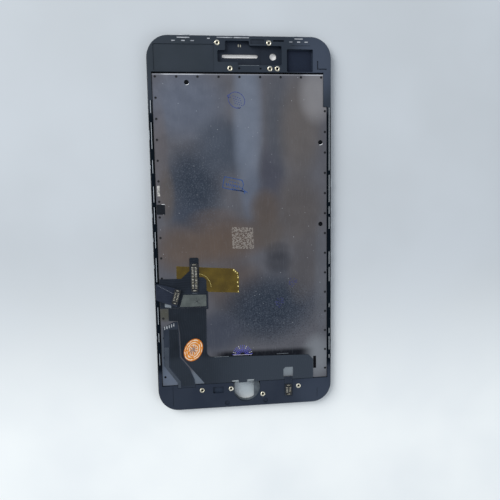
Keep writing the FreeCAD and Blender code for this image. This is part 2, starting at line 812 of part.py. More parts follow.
def cut_head_pockets(body):
    """Recess, camera well, sensor tray, apron and the grooves of the head wall."""
    recess = recess_outline()
    sunk(body, "head_recess", frame_top, frame_top - frame_floor, [recess], corner=pocket_corner)
    well_wall = cell("well_wall", 0.45)
    well = rectangle(cell("well_left", 8.0), recess[6][0] - well_wall,
                     recess[7][1] + well_wall, recess[6][1] - well_wall)
    sunk(body, "camera_well", frame_floor, frame_floor - well_floor, [well])
    tray = rectangle(from_right("tray_left", 18.55), from_right("tray_right", 7.75),
                     above_window("tray_foot", 0.63), below_head("tray_head", 5.2))
    sunk(body, "sensor_tray", frame_top, frame_top - tray_floor, [tray], corner=pocket_corner)
    apron = rectangle(from_left("apron_left", 2.7), cell("apron_right", -10.6),
                      above_window("apron_foot", 0.83), below_head("apron_head", 3.6))
    sunk(body, "left_apron", frame_top, apron_depth, [apron], corner=pocket_corner)
    bar = rectangle(cell("bar_groove_left", 4.1), cell("bar_groove_right", 9.6),
                    below_head("bar_groove_foot", 3.4), below_head("bar_groove_head", 1.6))
    sunk(body, "bar_groove", frame_top, apron_depth, [bar])
    dark = rectangle(cell("dark_slot_left", 13.2), cell("dark_slot_right", 17.6),
                     below_head("dark_slot_foot", 2.4), below_head("dark_slot_head", 1.75))
    sunk(body, "dark_slot", frame_top, groove_depth * 2, [dark])
    shelf = rectangle(from_right("shelf_left", 16.7), from_right("shelf_right", 9.1),
                      below_head("shelf_foot", 4.1), below_head("shelf_head", 3.7))
    sunk(body, "shelf_groove", frame_top, mark_depth, [shelf])
    ell_x, ell_y = from_right("ell_left", 6.1), above_window("ell_foot", 1.53)
    ell_right, ell_head = from_right("ell_right", 2.1), above_window("ell_head", 5.03)
    ell_arm = cell("ell_arm", 0.5)
    inner_x, inner_y = ell_x + ell_arm, ell_y + ell_arm
    ell = [(ell_x, ell_y), (ell_right, ell_y), (ell_right, inner_y), (inner_x, inner_y),
           (inner_x, ell_head), (ell_x, ell_head)]
    sunk(body, "ell_groove", frame_top, groove_depth, [ell])
    cut_glass_holes(body, frame_floor, floor_thick, "frame")
    sensor = (cell("sensor_across", -3.83), below_head("sensor_along", 3.63))
    sensor_well = regular_outline(sensor, cell("sensor_radius", 0.9), DENT_SIDES)
    sunk(body, "sensor_well", frame_floor, mark_depth, [sensor_well])
    dimples = [cell("dimple_left", -0.62), cell("dimple_right", 8.0)]
    dimple_radius = cell("dimple_radius", 0.5)
    for i, across in enumerate(dimples):
        hole = regular_outline((across, insert_row_window), dimple_radius, SMALL_HOLE_SIDES)
        sunk(body, "dimple_%d" % (i + 1), frame_top, groove_depth, [hole])


def cut_foot_pockets(body, depth):
    """Button opening, pockets and flex channels of the foot wall."""
    opening = button_radius + button_room
    sunk(body, "button_opening", frame_top, depth, circles=[(button_centre, opening)])
    neck = rectangle(button_centre[0] - opening, button_centre[0] + opening,
                     button_centre[1], window_foot + fit_gap)
    sunk(body, "button_neck", frame_top, depth, [neck])
    pocket = rectangle(cell("foot_pocket_left", -14.25), cell("foot_pocket_right", -9.7),
                       below_window("foot_pocket_foot", 4.23), below_window("foot_pocket_head", 1.33))
    sunk(body, "foot_pocket", frame_top, foot_pocket_depth, [pocket], corner=pocket_corner)
    left = from_left("foot_line_left", 6.05)
    right = from_right("foot_line_right", 6.55)
    left_line = rectangle(left, left + mark_width, above_foot("foot_line_left_foot", 1.9),
                          below_window("foot_line_left_head", 0.53))
    right_line = rectangle(right, right + mark_width, above_foot("foot_line_right_foot", 2.9),
                           above_foot("foot_line_right_head", 6.6))
    sunk(body, "foot_line_left", frame_top, mark_depth, [left_line])
    sunk(body, "foot_line_right", frame_top, mark_depth, [right_line])
    locating_radius = cell("locating_radius", 1.1)
    locating = [(cell("locating_left", -8.3), above_foot("locating_left_along", 2.2)),
                (cell("locating_right", 8.3), above_foot("locating_right_along", 2.3))]
    for i, centre in enumerate(locating):
        dent = regular_outline(centre, locating_radius, DENT_SIDES)
        sunk(body, "locating_%d" % (i + 1), frame_top, groove_depth, [dent])
    channel = rectangle(home_flex_left - fit_gap, home_flex_left + home_flex_width + fit_gap,
                        home_flex_foot - fit_gap, window_foot + fit_gap)
    sunk(body, "home_channel", frame_top, frame_top - flex_top, [channel])
    left, right = second_flex_outline[8][0], second_flex_outline[7][0]
    foot = second_flex_outline[8][1]
    gutter = rectangle(left - fit_gap, right + fit_gap, foot - fit_gap, window_foot + fit_gap)
    sunk(body, "flex_gutter", frame_top, frame_top - plate_top, [gutter])


def make_frame_blank():
    """Moulded bezel: a ring round the panel with pockets at the head and the foot."""
    body = new_body("frame_blank")
    outline = rectangle(-frame_half_width, frame_half_width, -frame_half_length, frame_half_length)
    through = frame_top - glass_thick
    pad = raised(body, "frame_pad", glass_thick, through, [outline])
    corners = rounded(body, "frame_corners", pad, outline, glass_corner - rim)
    edge = body.newObject("PartDesign::Chamfer", "frame_soft_edge")
    edge.Base = (corners, level_edges(corners, frame_top))
    bind(edge, "Size", frame_edge)
    channel_head = window_head + cell("head_channel", 0.45)
    window = rectangle(-window_half_width, window_half_width, window_foot, channel_head)
    sunk(body, "frame_window", frame_top, through, [window])
    step_x = plate_half_width - notch_across + fit_gap
    step_y = plate_head - notch_length + fit_gap
    step = rectangle(step_x, window_half_width, step_y, channel_head)
    step_at = plate_at + ledge_gap
    raised(body, "frame_step", step_at, frame_top - step_at, [step])
    gate = rectangle(-half_width, -window_half_width, gate_foot, gate_head)
    sunk(body, "flex_gate", frame_top, rail_waist_depth, [gate])
    cut_head_pockets(body)
    cut_foot_pockets(body, through)
    return body


def cut_rail_windows(body, side, sign, spans):
    """Lower the inner wall beside each tall stretch of rail, so that its face shows."""
    inner = frame_half_width - rail_inset
    outlines = []
    for start, end in spans:
        x0, x1 = (window_half_width, inner) if sign > 0 else (-inner, -window_half_width)
        outlines.append(rectangle(x0, x1, end, start))
    sunk(body, side + "_windows", frame_top, rail_waist_depth, outlines)


gasket_thick = cell("gasket_thick", 0.4)
gasket_left = cell("gasket_left", 5.1)
gasket_right = cell("gasket_right", 3.2)


def make_button_gasket():
    """Soft ring round the button hole, with a flat on each side."""
    x, y = button_centre
    outer = button_radius + button_room
    top = glass_thick + gasket_thick
    disc = cylinder("gasket_disc", button_centre, outer, glass_thick, top)
    hole = cylinder("gasket_round", button_centre, button_radius, glass_thick, top)
    band = block("gasket_band", x - gasket_left, x + gasket_right, y - outer, y + outer, glass_thick, top)
    ring = cut("gasket_ring", disc, common("gasket_clear", hole, band))
    limit = block("gasket_limit", x - outer, x + outer, y - outer, window_foot, glass_thick, top)
    return node(common("button_gasket", ring, limit), "button_gasket")


# Flexes, tape and stickers on the back
tape_thick = cell("tape_thick", 0.06)
stiffener_thick = cell("stiffener_thick", 0.18)
cover_thick = cell("cover_thick", 0.1)
sticker_thick = cell("sticker_thick", 0.06)
patch_thick = cell("patch_thick", 0.08)
flex_corner = cell("flex_corner", 2.4)
tongue_corner = cell("tongue_corner", 0.6)

limb_points = [(3.35, 32.9), (18.9, 32.9), (18.75, 11.5)]
strip_end_points = [(8.05, 10.3), (6.1, 8.3), (6.1, -0.1)]
strip_notch_points = [(3.4, -0.1), (3.4, 0.8), (0.1, 0.8), (0.1, -0.4), (-3.4, -0.4), (-3.4, 0.8),
                      (-6.4, 0.8), (-6.4, -0.1)]
limb_return_points = [(17.75, -0.1), (11.75, 7.4), (8.05, 12.1), (7.7, 22.7), (7.05, 27.6), (3.35, 27.8)]
flex_cover_points = [(3.35, 24.1), (6.95, 24.1), (7.15, 11.8), (10.85, 6.8), (12.75, 2.0),
                     (13.05, -0.5), (7.95, -0.5), (7.75, 1.6), (3.35, 7.9)]
upper_flex_points = [(0.05, 45.4), (8.95, 45.3), (12.5, 48.5), (12.5, 53.9), (16.3, 53.9), (16.3, 45.8),
                     (18.3, 45.6), (19.25, 44.5), (19.25, 39.8), (19.8, 39.8), (19.8, 32.2),
                     (19.05, 32.2), (19.05, 33.1), (0.05, 33.1)]
stiffener_points = [(9.65, 38.6), (19.1, 38.3), (19.05, 33.5), (8.15, 33.55)]
kapton_points = [(7.15, 50.6), (30.65, 48.85), (32.95, 46.9), (32.85, 38.6), (7.05, 40.2)]
edge_patch_points = [(0.05, 71.95), (3.35, 71.95), (3.35, 76.0), (0.05, 76.0)]
edge_tab_points = [(0.45, 79.4), (1.55, 79.4), (1.55, 83.6), (0.45, 83.6)]


def make_main_flex():
    """L-shaped circuit: a limb up the left side and a strip along the foot, round the button."""
    limb = outline_cells("limb", limb_points, on_plate)
    strip_end = outline_cells("strip_end", strip_end_points, on_plate_right)
    notch = outline_cells("strip_notch", strip_notch_points, beside_button)
    limb_return = outline_cells("limb_return", limb_return_points, on_plate)
    body = new_body("main_flex")
    pad = raised(body, "main_flex_pad", plate_top, flex_thick, [limb + strip_end + notch + limb_return])
    rounded(body, "main_flex_bend", pad, [limb[2]], flex_corner)
    room = cell("flex_window_room", 0.5)
    left, right = home_flex_left - room, home_flex_left + home_flex_width + room
    slant = cell("flex_window_slant", 0.9)
    low = plate_foot + cell("flex_window_foot", 0.9)
    high = low + cell("flex_window_length", 4.4)
    window = [(left, low), (right, low), (right, high), (left + slant, high), (left, high - slant)]
    sunk(body, "main_flex_window", flex_top, flex_thick, [window])
    node(body, "main_flex")


def make_flexes():
    """The flat circuits and tapes, each a sheet with its own outline."""
    make_main_flex()
    sheet_piece("second_flex", plate_top, flex_thick, second_flex_outline)
    cover = outline_cells("flex_cover", flex_cover_points, on_plate)
    sheet_piece("flex_cover", flex_top, cover_thick, cover)
    upper = outline_cells("upper_flex", upper_flex_points, on_plate)
    lift = plate_top + tape_thick
    sheet_piece("upper_flex", lift, flex_thick - tape_thick, upper, [upper[3], upper[4]], tongue_corner)
    tape = outline_cells("kapton", kapton_points, on_plate)
    sheet_piece("kapton_tape", plate_top, tape_thick, tape)
    pad_outline = outline_cells("stiffener", stiffener_points, on_plate)
    sheet_piece("stiffener", flex_top, stiffener_thick, pad_outline)
    patch = outline_cells("edge_patch", edge_patch_points, on_plate)
    sheet_piece("edge_patch", plate_top, patch_thick, patch)
    tab = outline_cells("edge_tab", edge_tab_points, on_plate)
    sheet_piece("edge_tab", plate_top, patch_thick, tab)
    home = rectangle(home_flex_left, home_flex_left + home_flex_width, home_flex_foot, home_flex_head)
    sheet_piece("home_flex", flex_top, home_flex_thick, home)


fold_thick = cell("fold_thick", 0.15)
fold_height = cell("fold_height", 0.7)
fold_under = cell("fold_under", 5.5)
fold_top = flex_top + fold_height


def make_fold_flex():
    """A flex doubled back on itself: two leaves joined by a round bend at the left edge."""
    left = fold_outline[0][0]
    right = fold_outline[2][0] + fit_gap
    bend = left + fold_height / 2
    y_plane = -(fold_outline[1][1] + fit_gap)
    span = fold_outline[1][1] - fold_outline[3][1] + fit_gap * 2
    leaves = []
    for name, end, low in (("fold_upper", right, fold_top - fold_thick),
                           ("fold_under", bend + fold_under, flex_top)):
        leaf = new_body(name + "_leaf")
        outline = rectangle(bend, end, low, low + fold_thick)
        raised(leaf, name + "_sheet", y_plane, span, [outline], plane="XZ_Plane")
        leaves.append(leaf)
    middle = (bend, flex_top + fold_height / 2)
    ring = new_body("fold_bend")
    raised(ring, "fold_ring", y_plane, span, plane="XZ_Plane",
           circles=[(middle, fold_height / 2), (middle, fold_height / 2 - fold_thick)])
    half = block("fold_half", left, bend, fold_outline[3][1] - fit_gap, fold_outline[1][1] + fit_gap,
                 flex_top, fold_top)
    sheet_form = fused("fold_sheet", leaves + [common("fold_round", ring, half)])
    prism = new_body("fold_plan")
    raised(prism, "fold_prism", flex_top, fold_height, [fold_outline])
    return node(common("fold_flex", sheet_form, prism), "fold_flex")


# Board-to-board connectors: a socket with a rim, a middle tongue and two rows of contacts
socket_height = cell("socket_height", 0.45)
socket_floor = cell("socket_floor", 0.18)
socket_rim = cell("socket_rim", 0.4)
socket_tongue = cell("socket_tongue", 0.55)
pin_width = cell("pin_width", 0.26)
pin_pitch = cell("pin_pitch", 0.62)
pin_proud = cell("pin_proud", 0.06)
pin_end = cell("pin_end", 1.1)
row_end = cell("row_end", 1.5)


def make_connector(label, centre, base, angle, length, width):
    """A socket along its own Y axis, turned and set down at its place."""
    body = new_body(label + "_connector")
    x, y = width / 2, length / 2
    outline = rectangle(-x, x, -y, y)
    pad = raised(body, label + "_socket", 0, socket_height, [outline])
    rounded(body, label + "_socket_corners", pad, outline, socket_rim)
    trough = rectangle(socket_rim - x, x - socket_rim, socket_rim - y, y - socket_rim)
    sunk(body, label + "_trough", socket_height, socket_height - socket_floor, [trough])
    tongue_end = y - pin_end
    tongue = rectangle(-socket_tongue / 2, socket_tongue / 2, -tongue_end, tongue_end)
    raised(body, label + "_tongue", socket_floor, socket_height - socket_floor, [tongue])
    node(body, label + "_connector")
    pins = []
    count = copies_along(length - row_end * 2, pin_pitch)
    first = pin_pitch * (count - 1) / 2
    for i in range(count):
        near = pin_pitch * i - first - pin_width / 2
        for side, x0, x1 in (("left", socket_rim - x, -socket_tongue / 2),
                             ("right", socket_tongue / 2, x - socket_rim)):
            name = "%s_pin_%s_%d" % (label, side, i + 1)
            pins.append(block(name, x0, x1, near, near + pin_width,
                              socket_floor, socket_height + pin_proud))
    end_half = x - socket_rim * 2
    for sign, name in ((1, "head"), (-1, "foot")):
        near = (y - socket_rim - pin_width) if sign > 0 else (socket_rim - y)
        pins.append(block("%s_nail_%s" % (label, name), -end_half, end_half, near, near + pin_width,
                          socket_floor, socket_height + pin_proud))
    rows = group(label + "_pins", pins)
    for piece in (body, rows):
        turn = FreeCAD.Rotation(angle.value, 0, 0)
        piece.Placement = FreeCAD.Placement(FreeCAD.Vector(0, 0, 0), turn)
        set_down(piece, centre, base)


def make_connectors():
    """The display plug on the tongue, the touch plug on the fold and the button plug."""
    display = on_plate(cell("display_plug_across", 14.4), cell("display_plug_along", 45.65))
    touch = on_plate(cell("touch_plug_across", 6.7), cell("touch_plug_along", 38.0))
    home = (home_flex_left + home_flex_width / 2, home_flex_foot + cell("home_plug_along", 2.95))
    make_connector("display", display, flex_top, cell("display_plug_turn", 0),
                   cell("display_plug_length", 11.9), cell("display_plug_width", 2.9))
    make_connector("touch", touch, fold_top, cell("touch_plug_turn", -15),
                   cell("touch_plug_length", 6.4), cell("touch_plug_width", 2.5))
    make_connector("home", home, flex_top + home_flex_thick, cell("home_plug_turn", 0),
                   cell("home_plug_length", 5.0), cell("home_plug_width", 2.8))


contact_length = cell("contact_length", 1.3)
contact_width = cell("contact_width", 0.4)
contact_step = cell("contact_step", 0.95)
contact_rise = cell("contact_rise", 0.3)
CONTACT_COUNT = 5


def make_contact_row():
    """Five bright contacts along the head of the second flex."""
    x, y = on_plate(cell("contact_across", 1.35), cell("contact_along", 24.2))
    contacts = []
    for i in range(CONTACT_COUNT):
        left = x + contact_step * i
        foot = y + contact_rise * i
        contacts.append(block("contact_%d" % (i + 1), left, left + contact_width,
                              foot, foot + contact_length, flex_top, flex_top + patch_thick))
    group("contact_row", contacts)


def make_sensor_contacts():
    """Two gold contacts on the floor of the head recess."""
    x, y = cell("gold_across", -0.83), below_head("gold_along", 4.25)
    width, length, pitch = cell("gold_width", 0.35), cell("gold_length", 1.0), cell("gold_pitch", 0.82)
    contacts = []
    for i in range(2):
        left = x + pitch * i
        contacts.append(block("gold_%d" % (i + 1), left, left + width, y, y + length,
                              frame_floor, frame_floor + cover_thick))
    group("sensor_contacts", contacts)


def make_round_sticker():
    """Oval sticker on the main flex, leaning to the right."""
    centre = on_plate(cell("sticker_across", 13.15), cell("sticker_along", 14.95))
    ring = doc.addObject("Part::Ellipse", "sticker_outline")
    bind(ring, "MajorRadius", cell("sticker_long", 5.1))
    bind(ring, "MinorRadius", cell("sticker_short", 3.76))
    disc = doc.addObject("Part::Extrusion", "round_sticker")
    disc.Base = ring
    disc.DirMode = "Custom"
    disc.Dir = FreeCAD.Vector(0, 0, 1)
    disc.Solid = True
    bind(disc, "LengthFwd", sticker_thick)
    lean = FreeCAD.Rotation(cell("sticker_lean", 63).value, 0, 0)
    disc.Placement = FreeCAD.Placement(FreeCAD.Vector(0, 0, 0), lean)
    set_down(disc, centre, flex_top)
    return node(disc, "round_sticker")


make_cover_glass()
make_display_stack()
make_mould_frame()
make_light_bar()
make_driver_chip()
make_backlight_plate()
moulded_pieces = [
    make_rail("left_rail", -1, left_spans, left_hooks),
    make_rail("right_rail", 1, right_spans, right_hooks),
    make_clip("top_clip_left", clip_left_end, (1.0, 2.65),
              [(0.2, 1.4, 2.45), (4.0, 1.4, 2.45), (7.65, 1.4, 2.45)], (6.9, 1.9), 1.25),
    make_clip("top_clip_mid", clip_mid_end, (0.8, 1.75),
              [(0.18, 1.1, 1.5), (4.0, 6.3, 1.05)], (11.7, 5.5), 1.05),
    make_clip("top_clip_right", clip_right_end, (1.0, 2.7),
              [(0.15, 1.3, 2.45), (3.35, 1.3, 2.45), (6.45, 1.3, 2.45)], (5.6, 2.2), 1.25),
]
moulded_pieces += make_inserts("top_inserts", top_insert_centres)
moulded_pieces += make_inserts("bottom_inserts", foot_insert_centres)
blank = make_frame_blank()
cut_rail_windows(blank, "left", -1, left_spans)
cut_rail_windows(blank, "right", 1, right_spans)
moulded_in = doc.addObject("Part::Compound", "moulded_in")
moulded_in.Links = moulded_pieces
node(cut("frame", blank, moulded_in), "frame")
make_button_gasket()
make_flexes()
make_fold_flex()
make_connectors()
make_contact_row()
make_sensor_contacts()
make_round_sticker()
doc.recompute()

# Check the document before anything is written
for thing in doc.Objects:
    if "Invalid" in thing.State or "Error" in thing.State:
        raise RuntimeError("failed: " + thing.Label)
for piece in nodes:
    if piece.Shape.isNull() or not piece.Shape.isValid() or not piece.Shape.Solids:
        raise RuntimeError("no valid shape: " + piece.Label)

os.makedirs("parts", exist_ok=True)
for piece in nodes:
    piece.Shape.exportStep("parts/%s.step" % piece.Label)
print("nodes", len(nodes))
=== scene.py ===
import bpy
import math
import random
from mathutils import Matrix, Vector


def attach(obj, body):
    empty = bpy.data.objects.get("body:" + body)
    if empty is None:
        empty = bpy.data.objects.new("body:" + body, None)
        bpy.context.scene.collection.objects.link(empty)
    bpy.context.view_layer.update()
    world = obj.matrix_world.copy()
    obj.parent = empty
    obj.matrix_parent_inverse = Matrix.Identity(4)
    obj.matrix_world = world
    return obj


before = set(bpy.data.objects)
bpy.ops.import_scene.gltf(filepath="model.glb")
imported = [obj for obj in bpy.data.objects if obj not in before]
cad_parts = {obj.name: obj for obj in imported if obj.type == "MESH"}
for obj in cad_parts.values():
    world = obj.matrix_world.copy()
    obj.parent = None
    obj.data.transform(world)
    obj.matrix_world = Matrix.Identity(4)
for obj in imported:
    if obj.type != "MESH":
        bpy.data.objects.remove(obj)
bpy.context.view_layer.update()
random.seed(7)
scene = bpy.context.scene
scene.view_settings.view_transform = "Standard"

# Lengths are written in millimetres and turned into metres where a mesh or a node takes them
MM = 0.001


# Camera

LENS = 39.85
SENSOR_WIDTH = 36.0
CAMERA_AT = Vector((-24.87, 17.56, 229.98)) * MM
CAMERA_LOOK = Vector((0.11886, -0.11632, -0.98607))
CAMERA_UP = Vector((0.03031, 0.99308, -0.1135))


def make_camera():
    """Look down on the back of the module, as the photograph does."""
    camera = bpy.data.cameras.new("camera")
    camera.lens = LENS
    camera.sensor_width = SENSOR_WIDTH
    holder = bpy.data.objects.new("camera", camera)
    bpy.context.scene.collection.objects.link(holder)
    back = -CAMERA_LOOK.normalized()
    right = CAMERA_UP.cross(back).normalized()
    up = back.cross(right)
    turn = Matrix((right, up, back)).transposed()
    holder.matrix_world = Matrix.Translation(CAMERA_AT) @ turn.to_4x4()
    bpy.context.scene.camera = holder


make_camera()


# Materials

NOISE_LOW, NOISE_HIGH = 0.3, 0.7  # nearly all of a noise lies between these
EDGE_BEGINS, EDGE_FULL = 0.99, 0.8  # cosine between the face and the softened face at an edge
# Radius of the edges that are lightened, partly as wear and partly as a painted highlight
WEAR_AND_HIGHLIGHT_EDGE = 0.06


def linear(rgb):
    """A screen colour, written from 0 to 255, as a shader colour."""
    out = []
    for value in rgb:
        value = value / 255
        out.append(value / 12.92 if value <= 0.04045 else ((value + 0.055) / 1.055) ** 2.4)
    return (*out, 1.0)


class Surface:
    """One material, built node by node from places on the object.

    A mask is a node's output from 0 to 1. Colours are written from 0 to 255.
    """

    def __init__(self, name, metal=0.0, rough=0.5, **sockets):
        self.material = bpy.data.materials.new(name)
        self.material.use_nodes = True
        self.tree = self.material.node_tree
        self.shader = self.tree.nodes["Principled BSDF"]
        self.set("Metallic", metal)
        self.set("Roughness", rough)
        for socket, value in sockets.items():
            self.set(socket.replace("_", " "), value)
        self.place = self.tree.nodes.new("ShaderNodeTexCoord").outputs["Object"]
        split = self.add("ShaderNodeSeparateXYZ", [self.place])
        self.x, self.y, self.z = split.outputs

    def set(self, socket, value):
        """Put a node's output or a plain value on one of the shader's sockets."""
        if hasattr(value, "is_output"):
            self.tree.links.new(value, self.shader.inputs[socket])
        else:
            self.shader.inputs[socket].default_value = value

    def add(self, kind, inputs=(), **settings):
        """A new node, with outputs or plain values on its first sockets."""
        node = self.tree.nodes.new(kind)
        for key, value in settings.items():
            setattr(node, key, value)
        for i, value in enumerate(inputs):
            if value is None:
                continue
            if hasattr(value, "is_output"):
                self.tree.links.new(value, node.inputs[i])
            else:
                node.inputs[i].default_value = value
        return node

    def math(self, operation, a, b=None, c=None, clamp=False):
        return self.add("ShaderNodeMath", [a, b, c], operation=operation, use_clamp=clamp).outputs[0]

    def times(self, a, b):
        return self.math("MULTIPLY", a, b)

    def plus(self, a, b, clamp=False):
        return self.math("ADD", a, b, clamp=clamp)

    def minus(self, a, b):
        return self.math("SUBTRACT", a, b)

    def squares(self, a, b):
        """The sum of two squares."""
        return self.plus(self.times(a, a), self.times(b, b))

    def step(self, value, low, high, out_low=0.0, out_high=1.0):
        """Soft step of a value from low to high."""
        limits = [value, low, high, out_low, out_high]
        return self.add("ShaderNodeMapRange", limits, interpolation_type="SMOOTHSTEP").outputs[0]

    def rise(self, axis, low, high, out_low=0.0, out_high=1.0):
        """Soft step of a coordinate between two places, in millimetres."""
        return self.step(axis, low * MM, high * MM, out_low, out_high)

    def spread(self, noise, out_low=0.0, out_high=1.0):
        """A noise brought to the whole range between two values."""
        return self.step(noise, NOISE_LOW, NOISE_HIGH, out_low, out_high)

    def noise(self, size, detail=3.0, stretch=(1, 1, 1), shift=0.0):
        """Noise whose features are about size millimetres."""
        scale = Vector(stretch) / (size * MM)
        place = [self.place, (shift, shift, shift), (0, 0, 0), tuple(scale)]
        texture = self.add("ShaderNodeTexNoise", [self.add("ShaderNodeMapping", place).outputs[0]])
        texture.inputs["Scale"].default_value = 1.0
        texture.inputs["Detail"].default_value = detail
        return texture.outputs["Fac"]

    def specks(self, size, share, soft=0.08):
        """Small round specks, spread at random."""
        place = [self.place, (0, 0, 0), (0, 0, 0), (1 / (size * MM),) * 3]
        cells = self.add("ShaderNodeTexVoronoi", [self.add("ShaderNodeMapping", place).outputs[0]])
        cells.inputs["Scale"].default_value = 1.0
        return self.step(cells.outputs["Distance"], share, share + soft, 1.0, 0.0)

    def mix(self, factor, a, b):
        """From one colour to another."""
        node = self.tree.nodes.new("ShaderNodeMix")
        node.data_type = "RGBA"
        for socket, value in ((0, factor), (6, a), (7, b)):
            if hasattr(value, "is_output"):
                self.tree.links.new(value, node.inputs[socket])
            else:
                node.inputs[socket].default_value = linear(value)
        return node.outputs[2]

    def over(self, colour, shade, mask, share=None):
        """The colour with a shade laid over it where the mask is, in full or by a share."""
        if share is not None:
            mask = self.times(mask, share)
        return self.mix(mask, colour, shade)

    def turned(self, centre, radii, turn):
        """Two coordinates that are 1 at the ends of an ellipse, which is turned by an angle in degrees."""
        c, s = math.cos(math.radians(turn)), math.sin(math.radians(turn))
        across = self.minus(self.x, centre[0] * MM)
        along = self.minus(self.y, centre[1] * MM)
        wide, high = radii[0] * MM, radii[1] * MM
        u = self.plus(self.times(across, c / wide), self.times(along, s / wide))
        v = self.minus(self.times(along, c / high), self.times(across, s / high))
        return u, v

    def near(self, centre, radii, turn=0.0):
        """One in the middle of an ellipse on the module, falling softly to nothing at its edge."""
        return self.step(self.squares(*self.turned(centre, radii, turn)), 0.0, 1.0, 1.0, 0.0)

    def between(self, axis, low, high, soft):
        """One where a coordinate lies between two places, in millimetres."""
        begins = self.rise(axis, low - soft, low + soft)
        ends = self.rise(axis, high - soft, high + soft, 1.0, 0.0)
        return self.times(begins, ends)

    def hole_row(self, start, pitch, count, upright, reach):
        """One about each hole of an even row, falling to nothing at the given reach."""
        along, across = (self.y, self.x) if upright else (self.x, self.y)
        first, line = (start[1], start[0]) if upright else start
        half = pitch / 2
        near_one = self.math("WRAP", along, (first + half) * MM, (first - half) * MM)
        off = self.minus(near_one, first * MM)
        side = self.minus(across, line * MM)
        gap = self.math("SQRT", self.squares(off, side))
        ring = self.rise(gap, reach * 0.75, reach, 1.0, 0.0)
        return self.times(ring, self.between(along, first - half, first + pitch * count - half, 0.1))

    def edges(self, radius):
        """One at the edges of the shape, nothing on its flat faces."""
        soft = self.add("ShaderNodeBevel", [radius * MM], samples=4)
        face = self.tree.nodes.new("ShaderNodeNewGeometry")
        both = [soft.outputs[0], face.outputs["Normal"]]
        dot = self.add("ShaderNodeVectorMath", both, operation="DOT_PRODUCT")
        return self.step(dot.outputs["Value"], EDGE_BEGINS, EDGE_FULL)

    def bump(self, height, depth, strength=0.5):
        """Relief of a depth in millimetres."""
        node = self.tree.nodes.new("ShaderNodeBump")
        node.inputs["Strength"].default_value = strength
        node.inputs["Distance"].default_value = depth * MM
        self.tree.links.new(height, node.inputs["Height"])
        self.set("Normal", node.outputs[0])

    def finish(self, colour):
        """Give the surface its colour and return its material."""
        self.set("Base Color", colour)
        return self.material


def plain_surface(name, dark, light, rough=(0.4, 0.6), size=3.0, grain=0.3, depth=0.02, edge_wear_and_highlight=None,
                  **sockets):
    """A material of two near colours, with cloudy variation, fine grain and edges lightened, partly as wear
    and partly as a painted highlight.
    """
    s = Surface(name, **sockets)
    cloud = s.noise(size, 4.0)
    fine = s.noise(grain, 2.0, shift=3.7)
    colour = s.mix(s.spread(s.plus(s.times(cloud, 0.7), s.times(fine, 0.3))), dark, light)
    if edge_wear_and_highlight:
        # Edges lightened: partly wear, partly a painted highlight
        colour = s.over(colour, edge_wear_and_highlight, s.edges(WEAR_AND_HIGHLIGHT_EDGE), 0.6)
    s.set("Roughness", s.spread(cloud, *rough))
    s.bump(fine, depth)
    return s.finish(colour)


# Paler places of the moulding: centre, radii, colour and share
FRAME_CLOUDS = [
    ((-28, 68), (26, 12), (40, 48, 54), 0.5),
    ((31, 66), (12, 18), (62, 71, 87), 0.8),
    ((31, -72), (13, 11), (50, 59, 74), 0.7),
]
DEEP_FLOORS = (2.3, 1.9)  # heights between which the colour turns to the painted tone of the deep floors
RECESS_FLOOR = (2.75, 2.6)
FOOT_TO_HEAD = (-68, 66)
EARPIECE_RECESS = ((6, 68), (20, 11))
SIDE_WALL = (35.35, 35.55)
SIDE_ENDS = (-60, 47)


def frame_surface():
    """Satin black moulding: paler at the right corners, with painted shade in the earpiece recess and along
    its side walls, a painted tone on its deep floors, and edges lightened partly as wear and partly as a
    painted highlight.
    """
    s = Surface("moulded_black")
    cloud = s.noise(9.0, 4.0)
    fine = s.noise(0.22, 2.0, shift=5.1)
    colour = s.mix(s.rise(s.y, *FOOT_TO_HEAD), (32, 40, 54), (36, 44, 54))
    for centre, radii, shade, share in FRAME_CLOUDS:
        colour = s.over(colour, shade, s.near(centre, radii), share)
    # Painted light and shade: the deep floors, found by height alone, get a tone of their own
    colour = s.over(colour, (35, 45, 60), s.rise(s.z, *DEEP_FLOORS))
    # Painted shade on the floor of the earpiece recess
    recess = s.times(s.rise(s.z, *RECESS_FLOOR), s.near(*EARPIECE_RECESS))
    colour = s.over(colour, (20, 27, 37), recess, 0.8)
    colour = s.over(colour, (48, 56, 68), s.step(cloud, 0.35, 0.7), 0.2)
    colour = s.over(colour, (74, 80, 90), s.step(fine, 0.62, 0.75), 0.1)
    # Edges lightened: partly wear, partly a painted highlight
    colour = s.over(colour, (66, 75, 88), s.edges(0.09), 0.3)
    # Painted shade along the side walls, with their shine turned down
    side = s.times(s.rise(s.math("ABSOLUTE", s.x), *SIDE_WALL), s.between(s.y, *SIDE_ENDS, 2))
    colour = s.over(colour, (8, 15, 22), side, 0.95)
    s.set("Specular IOR Level", s.step(side, 0.0, 1.0, 0.2, 0.02))
    s.set("Roughness", s.spread(cloud, 0.42, 0.58))
    s.bump(fine, 0.02)
    return s.finish(colour)
